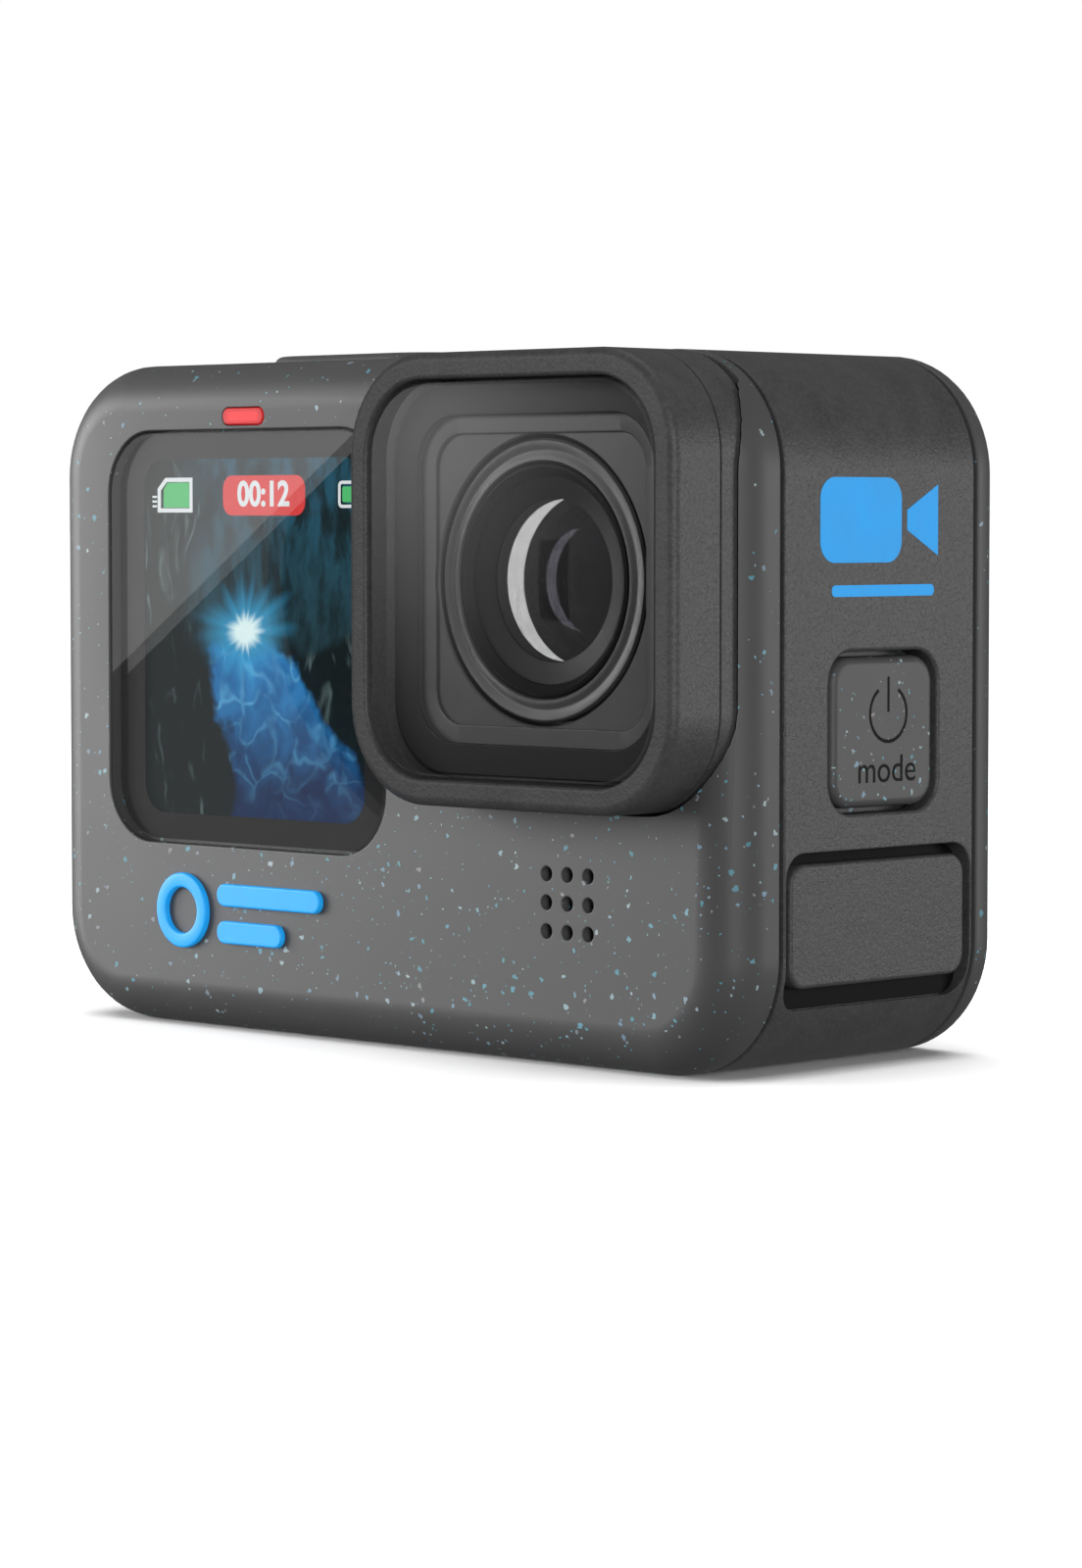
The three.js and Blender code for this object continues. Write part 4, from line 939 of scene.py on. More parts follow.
FRONT_WINDOW = ((-25.9, 16.2), (-1.4, 43.1))
REAR_WINDOW = ((-26.6, 8.6), (26.6, 41.7))
piece("rear_shell", rear_shell(), SPECKLED, "camera_body", ["rear_cover"])
piece("front_pane", pane("front_glass", "front", PANE_CORNER), PANE_GLASS, "camera_body",
      ["front_glass"])
piece("rear_pane", pane("rear_glass", "back", 4.5), PANE_GLASS, "camera_body", ["rear_glass"])
piece("front_mask", screen_mask("front_glass", "front", -10.92, 0.1, FRONT_WINDOW), BEZEL_AND_SHADE_BLACK,
      "camera_body")
piece("rear_mask", screen_mask("rear_glass", "back", 15.72, 0.1, REAR_WINDOW), BEZEL_AND_SHADE_BLACK,
      "camera_body")
print("panes made")

# %% [markdown]
# ## The lens cover
#
# The cover is a square ring with a thick pane in it. It turns on a round neck with four lugs, which pass
# through four gates in the collar behind it and lock under its rim. The collar has the same outline as
# the ring, so the two read as one block with a hairline between them. Inside, a stepped baffle leads the
# eye down to the lens barrel.

# %% Lens cover and collar
cover_low, cover_high = span("cover_ring")
mount_low, mount_high = span("lens_mount")
COVER_SIZE = cover_high.x - cover_low.x
COVER_CORNER = 7.2
COVER_BACK = -12.15
OPENING = 28.15
OPENING_CORNER = 5.5
OPENING_FLOOR = COVER_BACK - 0.6
NECK_OUTER, NECK_INNER = 12.75, 12.2
LUG_FRONT, LUG_BACK = -10.7, -9.3
LUG_RADIUS = 14.0
LUG_WIDTH = 24
GROOVE_RADIUS = 14.3
MOUNT_BORE = 13.0
SCREW_OFFSET = 11.3
HAIRLINE = 0.1


def lens_square(facing, start, size, corner, steps, segments=14):
    return raised(facing, (LENS.x, start, LENS.z), size, size, corner, steps, segments)


def lens_turned(profile, steps=128):
    return turned(profile, LENS.x, LENS.z, steps)


def around_lens(inner, outer, start, end, width, first):
    return together(*[sector(inner, outer, start, end, first + 90 * i, width, LENS.x, LENS.z)
                      for i in range(4)])


def cover_ring():
    depth = COVER_BACK - cover_low.y
    rim, lip = 0.75, 0.3
    outer = lens_square("front", COVER_BACK, COVER_SIZE, COVER_CORNER, [(0, depth - rim), *fillet(rim, 6)])
    round_rim(outer, Y, COVER_BACK, HAIRLINE)
    opening = lens_square("back", cover_low.y - REACH, OPENING + 2 * lip, OPENING_CORNER + lip,
                          [(0, REACH), *mouth(lip, 5), (0, OPENING_FLOOR - cover_low.y - lip)])
    hole = rod(LENS.x, LENS.z, NECK_INNER, cover_low.y - REACH, 0, 128)
    block_ring = carved(outer, opening, hole)
    neck = lens_turned([(NECK_INNER, COVER_BACK - 0.3), (NECK_OUTER, COVER_BACK - 0.3),
                        (NECK_OUTER, cover_high.y), (NECK_INNER, cover_high.y)])
    lugs = around_lens(NECK_INNER + 0.3, LUG_RADIUS, LUG_FRONT, LUG_BACK, LUG_WIDTH, 0)
    return joined(joined(block_ring, neck), lugs)


def lens_collar():
    outer = lens_square("front", mount_high.y, COVER_SIZE, COVER_CORNER, [(0, mount_high.y - mount_low.y)])
    round_rim(outer, Y, mount_low.y, HAIRLINE)
    bore = rod(LENS.x, LENS.z, MOUNT_BORE, mount_low.y - REACH, 0, 128)
    groove = rod(LENS.x, LENS.z, GROOVE_RADIUS, -11, 0, 128)
    gates = around_lens(MOUNT_BORE - 1, GROOVE_RADIUS, mount_low.y - REACH, -10, LUG_WIDTH + 4, 45)
    screws = together(*[rod(LENS.x + i * SCREW_OFFSET, LENS.z + j * SCREW_OFFSET, 0.9, -11.5, -8, 16)
                        for i in (-1, 1) for j in (-1, 1)])
    return carved(outer, bore, groove, gates, screws)


def cover_pane():
    low, high = span("cover_glass")
    return lens_square("front", high.y, high.x - low.x, 5.3, [(0, high.y - low.y - 0.25), *fillet(0.25, 4)])


def baffle():
    low, high = span("cover_baffle")
    lip = 0.12
    size = high.x - low.x
    plate = lens_square("front", high.y, size, OPENING_CORNER - 0.3,
                        [(0, high.y - low.y - lip), *fillet(lip, 2)])
    outer_step, inner_step = (size - 23.1) / 2, (23.1 - 20.5) / 2
    well = lens_square("back", low.y - REACH, 23.1 + 2 * lip, 3.8 + lip,
                       [(0, REACH), *mouth(lip, 3), (0, 0.6 - lip), (inner_step - lip, 0),
                        *mouth(lip, 3), (0, 0.3 - lip)])
    hole = lens_turned([(0.01, -16), (10.32, -16), (10.32, -13.2), (10.2, -13.08), (10.2, 0), (0.01, 0)])
    return carved(plate, well, hole)


piece("lens_cover_ring", cover_ring(), GRAINED, "lens_cover", ["cover_ring"])
piece("lens_collar", lens_collar(), GRAINED, "camera_body", ["lens_mount"])
piece("cover_pane", cover_pane(), COVER_GLASS, "lens_cover", ["cover_glass"])
piece("stepped_baffle", baffle(), BAFFLE_GREY, "lens_cover", ["cover_baffle"])
stepped = bpy.data.objects["stepped_baffle"].data
stepped.materials.append(PLATE_GREY)
for face in stepped.polygons:
    face.material_index = 1 if face.center.y > (span("cover_baffle")[0].y + 0.1) * MM else 0

# %% [markdown]
# ## The lens
#
# Barrel, retaining ring and glass are all turned about one line. The front element is a strong dome, and
# its retainer has a thin lip that hides the dome's ground edge. The element behind it has a violet
# coating, which is what gives a lens its coloured depth.

# %% Barrel, retainer and elements
DOME_RADIUS = 6.8
DOME_RIM = -11.78
DOME_SAG = 0.52
DOME_CURVE = (DOME_RADIUS ** 2 + DOME_SAG ** 2) / (2 * DOME_SAG)


def cap_points(radius, rim, sag, count):
    """Points of a spherical cap's section, from its rim to its middle."""
    curve = (radius ** 2 + sag ** 2) / (2 * sag)
    top = rim - sag
    points = []
    for i in range(count + 1):
        r = radius * (1 - i / count)
        points.append((r, top + math.copysign(abs(curve) - math.sqrt(curve ** 2 - r ** 2), sag)))
    return points


def element(radius, front, front_sag, back, back_sag, count=20):
    """A lens element: a spherical cap in front and another behind."""
    front_cap = cap_points(radius, front, front_sag, count)
    back_cap = cap_points(radius, back, back_sag, count)
    return turned(front_cap[::-1] + back_cap, LENS.x, LENS.z, 96, False)


barrel = lens_turned([
    (8.3, -13.0), (8.4, -13.1), (8.75, -13.1), (8.95, -12.98), (9.15, -12.98), (9.35, -13.1),
    (9.75, -13.1), (9.9, -12.95), (9.9, -8.9), (8.8, -8.9), (8.8, 5.2), (5.4, 5.2), (5.4, -8.4),
    (7.1, -8.4), (7.1, -10.6), (8.3, -10.6)])
retainer = lens_turned([
    (7.9, -13.1), (8.1, -13.0), (8.1, -10.9), (6.95, -10.9), (6.95, -11.84), (5.75, -11.97),
    (5.72, -12.0), (5.8, -12.04), (7.2, -12.36), (7.3, -12.42), (7.34, -12.62)])
piece("barrel", barrel, PLATE_GREY, "camera_body", ["lens_barrel"])
piece("retaining_ring", retainer, BARREL_BLACK, "camera_body", ["lens_retainer"])
dome = piece("dome", element(DOME_RADIUS, DOME_RIM, DOME_SAG, -9.3, 0.9), DOME_GLASS, "camera_body",
             ["front_element"])
coated = piece("coated_element", element(5.1, -7.3, 0.6, -6.0, -0.6), VIOLET_GLASS, "camera_body",
               ["middle_element"])
print("dome curve radius", round(DOME_CURVE, 2))

# %% [markdown]
# ## The picture on the screens
#
# Both screens show what the camera sees: the mouth of a flooded cave. It is painted by maths alone. A
# warped distance from the cave's mouth gives a star-shaped glow, noise gives the walls their strata, and
# the edges of stretched Voronoi cells make the light that dances on the water.


# %% Cave picture
def cave_picture(name, centre, half, mirror=1):
    """A lit picture. Centre and half are in millimetres across the display."""
    finish = Finish(name, Roughness=0.6, Base_Color=(0.003, 0.003, 0.004, 1), Specular_IOR_Level=0.02)
    (cx, cz), (hx, hz) = centre, half
    across = (finish.axis(X) - cx) * (mirror / hx)
    up = (finish.axis(Z) - cz) / hz
    flat = finish.add("ShaderNodeCombineXYZ", {}, {"X": across, "Y": up}, "Vector")
    warp = finish.scaled((0.22, 0.22, 0), finish.noise(0.5, detail=3, place=flat, output="Color"))
    bent = finish.moved(warp, flat)
    radius = (across ** 2 + up ** 2) ** 0.5
    rays = finish.add("ShaderNodeVectorMath", {"operation": "NORMALIZE"}, {0: flat}, "Vector")
    spikes = finish.noise(0.32, detail=1, place=rays)
    flat_radius = ((across * 0.75) ** 2 + (up * 1.15) ** 2) ** 0.5
    reach = flat_radius * (spikes * 1.2 + 0.4)
    strata = finish.noise(0.5, detail=6, place=finish.scaled((2.4, 0.9, 1), bent), roughness=0.62)
    streaks = finish.noise(0.16, detail=5, place=finish.scaled((1.2, 0.35, 1), bent), distortion=1.2)
    rock = finish.mix(strata.ramp(0.3, 0.75), (0.004, 0.012, 0.014, 1), (0.022, 0.075, 0.10, 1))
    roof = finish.mix(up.ramp(-0.1, 0.9), rock, (0.016, 0.095, 0.15, 1))
    above = finish.mix(strata.ramp(0.42, 0.6) * 0.85, rock, roof)
    edge = finish.noise(0.45, detail=3, place=flat) * 0.55
    left_wall = (across + edge).ramp(0.0, -0.35)
    walls = finish.mix(left_wall, above, (0.004, 0.010, 0.010, 1))
    pale = streaks.ramp(0.56, 0.76) * left_wall.ramp(0.2, 0.9)
    walls = finish.mix(pale * 0.6, walls, (0.20, 0.30, 0.30, 1))
    ripple = finish.noise(0.35, detail=2, place=flat, output="Color")
    water_bent = finish.moved(finish.scaled((0.5, 0.5, 0), ripple), flat)
    vein_place = finish.scaled((1.0, 1.5, 1), water_bent)
    veins = finish.cells(0.30, vein_place, feature="DISTANCE_TO_EDGE").ramp(0.10, 0.0)
    ripple = finish.noise(0.22, detail=4, place=water_bent).ramp(0.35, 0.7)
    depth = finish.mix(up.ramp(-0.05, -0.9), (0.012, 0.16, 0.42, 1), (0.003, 0.018, 0.075, 1))
    swell = finish.mix(ripple * up.ramp(-1.2, 0.1) * 0.8, depth, (0.03, 0.26, 0.60, 1))
    water = finish.mix(veins * ripple * up.ramp(-1.2, 0.0) * 0.7, swell, (0.16, 0.55, 0.85, 1))
    shore = (up + finish.noise(0.4, detail=4, place=flat) * 0.3 - across * 0.05).ramp(0.12, 0.02)
    ragged = finish.noise(0.35, detail=5, place=flat)
    left_bank = (across + ragged * 0.7 + up * 0.25).ramp(0.02, -0.08)
    right_bank = (across - ragged * 0.5 - up.size() * 1.1).ramp(-0.12, -0.02)
    bank = left_bank.highest(right_bank)
    stone = finish.mix(streaks.ramp(0.58, 0.8) * 0.6, (0.003, 0.009, 0.010, 1), (0.16, 0.24, 0.24, 1))
    scene_colour = finish.mix(shore, walls, finish.mix(bank, water, stone))
    halo = reach.ramp(0.36, 0.03)
    core = reach.ramp(0.14, 0.05)
    lit = finish.mix(halo * 0.8, scene_colour, (0.04, 0.45, 0.80, 1))
    finish.glow(finish.mix(core, lit, (0.80, 1.0, 1.0, 1)), 1.0)
    return finish.material


def lit_mark(name, colour, strength):
    finish = Finish(name, Roughness=0.6, Base_Color=(0.01, 0.01, 0.01, 1), Specular_IOR_Level=0.02)
    hum = finish.noise(1.5, detail=1)
    finish.glow(finish.mix(hum, tuple(c * 0.94 for c in colour) + (1,), tuple(colour) + (1,)), strength)
    return finish.material


FRONT_PICTURE = cave_picture("cave_picture", (-14.7, 30.1), (12.3, 13.5))
REAR_PICTURE = cave_picture("wide_cave_picture", (2, 27.5), (26.5, 17), -1)
MARK_WHITE = lit_mark("mark_white", (0.85, 0.9, 0.92), 0.95)
MARK_GREEN = lit_mark("mark_green", (0.10, 0.62, 0.20), 0.9)
MARK_RED = lit_mark("mark_red", (0.85, 0.06, 0.06), 0.9)
print("pictures", FRONT_PICTURE.name, REAR_PICTURE.name)

# %% [markdown]
# The marks over the picture are generic ones: a memory card with its charge of green, a red pill that
# counts seconds, and a battery. They're thin solids just over the display, so they keep sharp edges at
# any distance.

# %% Displays and marks
MARK_HEIGHT = 0.03


def lettering(text, facing, centre, height, depth, weight=0.0):
    """Text as a closed mesh, centred on a point."""
    curve = bpy.data.curves.new("passing_text", "FONT")
    curve.body = text
    curve.align_x, curve.align_y = "CENTER", "CENTER"
    curve.size = height
    curve.extrude = depth / 2
    curve.offset = weight
    curve.resolution_u = 6
    holder = bpy.data.objects.new("passing_text", curve)
    bpy.context.collection.objects.link(holder)
    mesh = bpy.data.meshes.new_from_object(holder.evaluated_get(bpy.context.evaluated_depsgraph_get()))
    bm = bmesh.new()
    bm.from_mesh(mesh)
    bpy.data.objects.remove(holder)
    bpy.data.curves.remove(curve)
    bpy.data.meshes.remove(mesh)
    bmesh.ops.remove_doubles(bm, verts=bm.verts, dist=TINY)
    bmesh.ops.transform(bm, matrix=Matrix.Translation(centre) @ FACING[facing].to_4x4(), verts=bm.verts)
    return bm


def plate(facing, centre, width, height, corner, thick=MARK_HEIGHT, segments=6):
    return raised(facing, centre, width, height, corner, [(0, thick)], segments)


def outline(facing, centre, width, height, corner, line, thick=MARK_HEIGHT):
    whole = plate(facing, centre, width, height, corner, thick)
    hole = plate(facing, centre, width - 2 * line, height - 2 * line, max(corner - line, 0), thick * 3)
    shift = Vector(FACING[facing] @ Vector((0, 0, -thick)))
    bmesh.ops.translate(hole, vec=shift, verts=hole.verts)
    return carved(whole, hole)


def prism(facing, centre, points, thick=MARK_HEIGHT):
    """A flat polygon with a thickness. Points are across and up from the centre."""
    bm = bmesh.new()
    face = bm.faces.new([bm.verts.new((u, v, 0)) for u, v in points])
    cap = bmesh.ops.extrude_discrete_faces(bm, faces=[face])["faces"][0]
    bmesh.ops.translate(bm, vec=(0, 0, thick), verts=cap.verts)
    bmesh.ops.holes_fill(bm, edges=[e for e in bm.edges if e.is_boundary], sides=0)
    bmesh.ops.recalc_face_normals(bm, faces=bm.faces)
    bmesh.ops.transform(bm, matrix=Matrix.Translation(centre) @ FACING[facing].to_4x4(), verts=bm.verts)
    return bm


def display(node, facing):
    (low, high), centre = span(node), middle(node)
    start = high.y if facing == "front" else low.y
    return raised(facing, (centre.x, start, centre.z), high.x - low.x, high.z - low.z, 2.4,
                  [(0, high.y - low.y - 0.05), (0.05, 0.05)], 6)


def status_marks(prefix, facing, level, left, right, top):
    """The row of marks along the top of a display, between two edges."""
    sign = 1 if facing == "front" else -1
    height = 2.65

    def at(x, z=0, lift=0):
        shift = FACING[facing] @ Vector((0, 0, lift))
        return Vector((x, level, top - height / 2 + z)) + shift

    card_x = left + sign * 2.1
    card = [(-1.9, -1.32), (2.1, -1.32), (2.1, 1.32), (-1.0, 1.32), (-1.9, 0.5)]
    inner = [(-1.55, -1.0), (1.78, -1.0), (1.78, 1.0), (-0.85, 1.0), (-1.55, 0.35)]
    fill = [(-1.2, -0.95), (1.72, -0.95), (1.72, 0.95), (-0.72, 0.95), (-1.2, 0.42)]
    card_line = carved(prism(facing, at(card_x), card),
                       prism(facing, at(card_x, lift=-MARK_HEIGHT), inner, 3 * MARK_HEIGHT))
    teeth = [plate(facing, at(card_x - sign * 2.25, 0.36 * row - 0.3), 0.5, 0.16, 0.02)
             for row in (-1.5, -0.5, 0.5)]
    piece(prefix + "_card_line", together(card_line, *teeth), MARK_WHITE, "camera_body")
    pill_x = left + sign * 12.25
    pill = plate(facing, at(pill_x, -0.05), 9.1, 3.0, 1.0)
    piece(prefix + "_pill", pill, MARK_RED, "camera_body")
    timer = lettering("00:12", facing, at(pill_x, -0.02, 2 * MARK_HEIGHT), 2.6, MARK_HEIGHT, 0.07)
    piece(prefix + "_timer", timer, MARK_WHITE, "camera_body")
    cell_x = right - sign * 2.0
    body = outline(facing, at(cell_x + sign * 0.3), 3.0, 2.0, 0.4, 0.24)
    knob = plate(facing, at(cell_x + sign * 2.0), 0.34, 0.9, 0.1)
    piece(prefix + "_cell_line", together(body, knob), MARK_WHITE, "camera_body")
    fills = together(prism(facing, at(card_x), fill),
                     plate(facing, at(cell_x + sign * 0.3), 2.1, 1.15, 0.15))
    piece(prefix + "_fills", fills, MARK_GREEN, "camera_body")


piece("front_panel", display("front_display", "front"), FRONT_PICTURE, "camera_body",
      ["front_display"])
piece("rear_panel", display("rear_display", "back"), REAR_PICTURE, "camera_body",
      ["rear_display"])
status_marks("front", "front", span("front_display")[0].y - MARK_HEIGHT, -24.8, -1.2, 41.7)
status_marks("rear", "back", span("rear_display")[1].y + MARK_HEIGHT, 24.5, -24.5, 40.4)
print("marks", [n for n in made if "front_" in n])


# %% [markdown]
# ## Lamp, badge and sound holes
#
# A status lamp is a clear red light pipe: brightest in the middle, darker where its edge meets the
# housing. The badge is a plain raised ring and two bars with soft rims, in bright blue with a painted glow.

# %% Lamp and badge
def lamp_glow(name):
    finish = Finish(name, Roughness=0.35, Base_Color=(0.4, 0.008, 0.01, 1), Specular_IOR_Level=0.2)
    centre = middle("status_lamp")
    along = (finish.axis(X) - centre.x).size().ramp(2.25, 1.2)
    upward = (finish.axis(Z) - centre.z).size().ramp(0.62, 0.15)
    finish.glow(finish.mix(along * upward, (0.30, 0.01, 0.012, 1), (0.78, 0.035, 0.04, 1)), 0.85)
    return finish.material


LAMP_RED = lamp_glow("lamp_red")
BADGE_LINE = 1.1


def lamp():
    (low, high), centre = span("status_lamp"), middle("status_lamp")
    return raised("front", (centre.x, high.y, centre.z), high.x - low.x, high.z - low.z,
                  (high.z - low.z) / 2 - 0.04, [(0, high.y - low.y - 0.1), *fillet(0.1, 3)])


def badge_bar(node):
    (low, high), centre = span(node), middle(node)
    return raised("front", (centre.x, high.y, centre.z), high.x - low.x, high.z - low.z, 0.8,
                  [(0, high.y - low.y - 0.16), *fillet(0.16, 4)], 10)


def badge_ring():
    (low, high), centre = span("badge_ring"), middle("badge_ring")
    outer = (high.x - low.x) / 2
    inner, soft = outer - BADGE_LINE, 0.16
    rim = [(outer - a, low.y + b) for a, b in rim_points(soft)]
    return turned([(inner, high.y), (outer, high.y), *rim, *[(inner + outer - r, y) for r, y in rim[::-1]]],
                  centre.x, centre.z, 72)


def rim_points(radius, count=4):
    """A quarter circle from a wall to a flat top, as (inset, drop below the top) pairs."""
    angles = [QUARTER * i / count for i in range(count + 1)]
    return [(radius * (1 - math.cos(a)), radius * (1 - math.sin(a))) for a in angles]


piece("lamp", lamp(), LAMP_RED, "camera_body", ["status_lamp"])
# The badge's blue carries a painted glow.
piece("badge_circle", badge_ring(), BLUE_PAINT_PAINTED_GLOW, "camera_body", ["badge_ring"])
for node in ("badge_bar_upper", "badge_bar_lower"):
    piece("soft_" + node, badge_bar(node), BLUE_PAINT_PAINTED_GLOW, "camera_body", [node])
print("badge", made[-3:])

# %% [markdown]
# ## The mode button
#
# The button stands in its hole with a gap all round. Its cap has a soft rim, and a flange behind the
# wall keeps it from falling out. The power sign is cut into the cap as an open ring with a bar, and the
# word below it is printed.

# %% Mode button
POWER_PLACE = (4.16, 25.0)
POWER_RADIUS = 1.95
POWER_LINE = 0.26
LABEL_PLACE = (4.0, 21.05)
PRINT_DEPTH = 0.02


def power_sign(level, thick):
    """An open ring with a bar through its gap, as a thin solid facing right."""
    y, z = POWER_PLACE
    start, sweep = math.radians(122), math.radians(296)
    steps = 36
    arc = [start + sweep * i / steps for i in range(steps + 1)]
    half = POWER_LINE / 2
    outer = [((POWER_RADIUS + half) * math.cos(a), (POWER_RADIUS + half) * math.sin(a)) for a in arc]
    inner = [((POWER_RADIUS - half) * math.cos(a), (POWER_RADIUS - half) * math.sin(a))
             for a in arc[::-1]]
    bar = plate("right", (level, y, z + 1.35), POWER_LINE, 2.5, 0.1, thick)
    return together(prism("right", (level, y, z), outer + inner, thick), bar)


def mode_cap():
    start = mode_low.x + 0.9
    cap = raised("right", (start, MODE_CENTRE.y, MODE_CENTRE.z), MODE_WIDTH, MODE_HEIGHT, MODE_CORNER,
                 [(0, mode_high.x - start - 0.6), *fillet(0.6, 6)], 14)
    flange = raised("right", (start, MODE_CENTRE.y, MODE_CENTRE.z), mode_high.y - mode_low.y,
                    mode_high.z - mode_low.z, MODE_CORNER, [(0, 0.9)])
    nub = raised("right", (mode_low.x, MODE_CENTRE.y, MODE_CENTRE.z), 3, 3, 1.5, [(0, 1.5)], 8)
    whole = joined(joined(cap, flange), nub)
    return carved(whole, power_sign(mode_high.x - 0.06, 0.2))


piece("mode_cap", mode_cap(), SPECKLED, "mode", ["mode_button"])
piece("mode_power_sign", power_sign(mode_high.x - 0.055, 0.03), MARK_BLACK, "mode")
label = lettering("mode", "right", Vector((mode_high.x + PRINT_DEPTH / 4, *LABEL_PLACE)), 2.75, PRINT_DEPTH)
piece("mode_label", label, MARK_BLACK, "mode")
print("mode button", MODE_WIDTH, MODE_HEIGHT)

# %% [markdown]
# ## The loudspeaker plate and the side print
#
# The plate sits back in its recess and leaves a shadow gap below it, where water drains out; a thin black sheet
# on the recess floor is painted shade that makes that gap darker. Above the
# button is a printed sign: a plain video camera and a line, in the same blue as the badge and with the same
# painted glow.

# %% Loudspeaker plate and print
def speaker_plate():
    centre = middle("speaker_plate")
    return raised("right", (plate_low.x, centre.y, centre.z), plate_high.y - plate_low.y,
                  plate_high.z - plate_low.z, 1.5, [(0, plate_high.x - plate_low.x - 0.3), *fillet(0.3, 4)])


def video_sign(level):
    """A rounded box and the wedge beside it, drawn across (y, z)."""
    low, high = (-3.17, 35.55), (9.38, 41.47)
    body_end = low[0] + 8.6
    box = plate("right", (level, (low[0] + body_end) / 2, (low[1] + high[1]) / 2),
                body_end - low[0], high[1] - low[1], 1.5, PRINT_DEPTH, 8)
    middle_z = (low[1] + high[1]) / 2
    wedge = prism("right", (level, body_end + 0.6, middle_z),
                  [(0, -0.7), (high[0] - body_end - 0.6, -2.5), (high[0] - body_end - 0.6, 2.5), (0, 0.7)],
                  PRINT_DEPTH)
    line = plate("right", (level, 3.5, 33.6), 10.9, 0.8, 0.35, PRINT_DEPTH)
    return together(box, wedge, line)


# A thin black sheet on the recess floor: painted shade that darkens the gap under the plate.
shade_sheet = raised("right", (RECESS_FLOOR, middle("speaker_plate").y, 10.15), 19.5, 10.8, 1.75, [(0, 0.06)])
piece("drain_floor", shade_sheet, BEZEL_AND_SHADE_BLACK, "camera_body")
piece("drain_plate", speaker_plate(), GRAINED, "camera_body", ["speaker_plate"])
piece("video_sign", video_sign(SIDE), BLUE_INK_PAINTED_GLOW, "camera_body")
print("side print ready")

# %% [markdown]
# ## The shutter button
#
# The largest button is a long pill on the top, standing proud of the body so that a gloved finger finds
# it. A shallow ring is cut in its middle.

# %% Shutter button
def shutter_cap():
    low, high = shutter_low, shutter_high
    centre = (low + high) / 2
    length, width = high.x - low.x - 2, high.y - low.y - 2
    bottom, rim = 46.6, 0.7
    cap = raised("top", (centre.x, BAND_MIDDLE, bottom), length, width, width / 2 - 0.04,
                 [(0, high.z - bottom - rim), *fillet(rim, 6)], 20)
    flange = raised("top", (centre.x, BAND_MIDDLE, bottom + 0.2), length + 2, width + 2, width / 2,
                    [(0, 1.3)], 16)
    ring = turned([(2.34, high.z - 0.2), (2.86, high.z - 0.2), (2.96, high.z + 0.3), (2.24, high.z + 0.3)],
                  centre.x, 0, 72, axis=Z, y=BAND_MIDDLE)
    return carved(joined(cap, flange), ring)


piece("shutter_cap", shutter_cap(), SPECKLED, "shutter", ["shutter_button"])
print("shutter", [round(v, 2) for v in shutter_high])

# %% [markdown]
# ## The side door
#
# The door swings up on a barrel along its top edge. Its slab has a soft rim like the rest of the body,
# and a recess near its foot holds the latch, which slides up to let it go.

# %% Door and latch
HINGE_X, HINGE_Z = -SIDE + 1.2, door_high.z - 1.2
latch_low, latch_high = span("door_latch")


def door():
    centre = middle("side_door")
    width, height = door_high.y - door_low.y, door_high.z - door_low.z
    slab = raised("left", (-SIDE + 2.4, centre.y, centre.z), width, height, DOOR_CORNER,
                  [(0, 2.4 - 0.25), *fillet(0.25, 4)], 12)
    square = block((-SIDE + 0.02, door_low.y, centre.z + 4), (-SIDE + 2.4, door_high.y, HINGE_Z))
    top = block((-SIDE - 2, door_low.y - 1, HINGE_Z), (-SIDE + 3, door_high.y + 1, door_high.z + 1))
    whole = joined(carved(slab, top), square)
    whole = joined(whole, rod(HINGE_X, HINGE_Z, 1.2, door_low.y, door_high.y, 40))
    pocket = raised("right", (-SIDE - REACH, BAND_MIDDLE, 12.8), 8.2 + 0.2, 6.3 + 0.2, 0.9,
                    [(0, REACH), *mouth(0.1, 2), (0, 1.1)])
    bore = rod(HINGE_X, HINGE_Z, PIN_BORE, door_low.y - 1, door_high.y + 1, 24)
    return carved(whole, pocket, bore)


def latch():
    centre = middle("door_latch")
    plate_face = -SIDE + 0.25
    base = raised("left", (latch_high.x, centre.y, centre.z), latch_high.y - latch_low.y,
                  latch_high.z - latch_low.z, 0.6, [(0, latch_high.x - plate_face - 0.1), *fillet(0.1, 2)])
    ribs = together(*[
        raised("left", (plate_face + 0.15, centre.y, centre.z + row), 5.2, 0.5, 0.2,
               [(0, 0.28), *fillet(0.1, 3)], 4) for row in (-1, 0, 1)])
    return joined(base, ribs)


piece("hinged_door", door(), GRAINED, "door", ["side_door"],
      smooth_below=math.radians(40))
piece("sliding_latch", latch(), BLACK_PLASTIC, "latch", ["door_latch"])
print("door", made[-2:])

# %% [markdown]
# ## The folding fingers
#
# Two blades fold out of the base to make a mount. Each has a round end with a cross hole, a knuckle at
# both sides of its root, and a notch that clears the tripod thread between them.

# %% Fingers
EYE_RADIUS, EYE_CHAMFER = 2.55, 0.25
BLADE_RIM = 0.3
KNUCKLE_WIDTH = 2.3


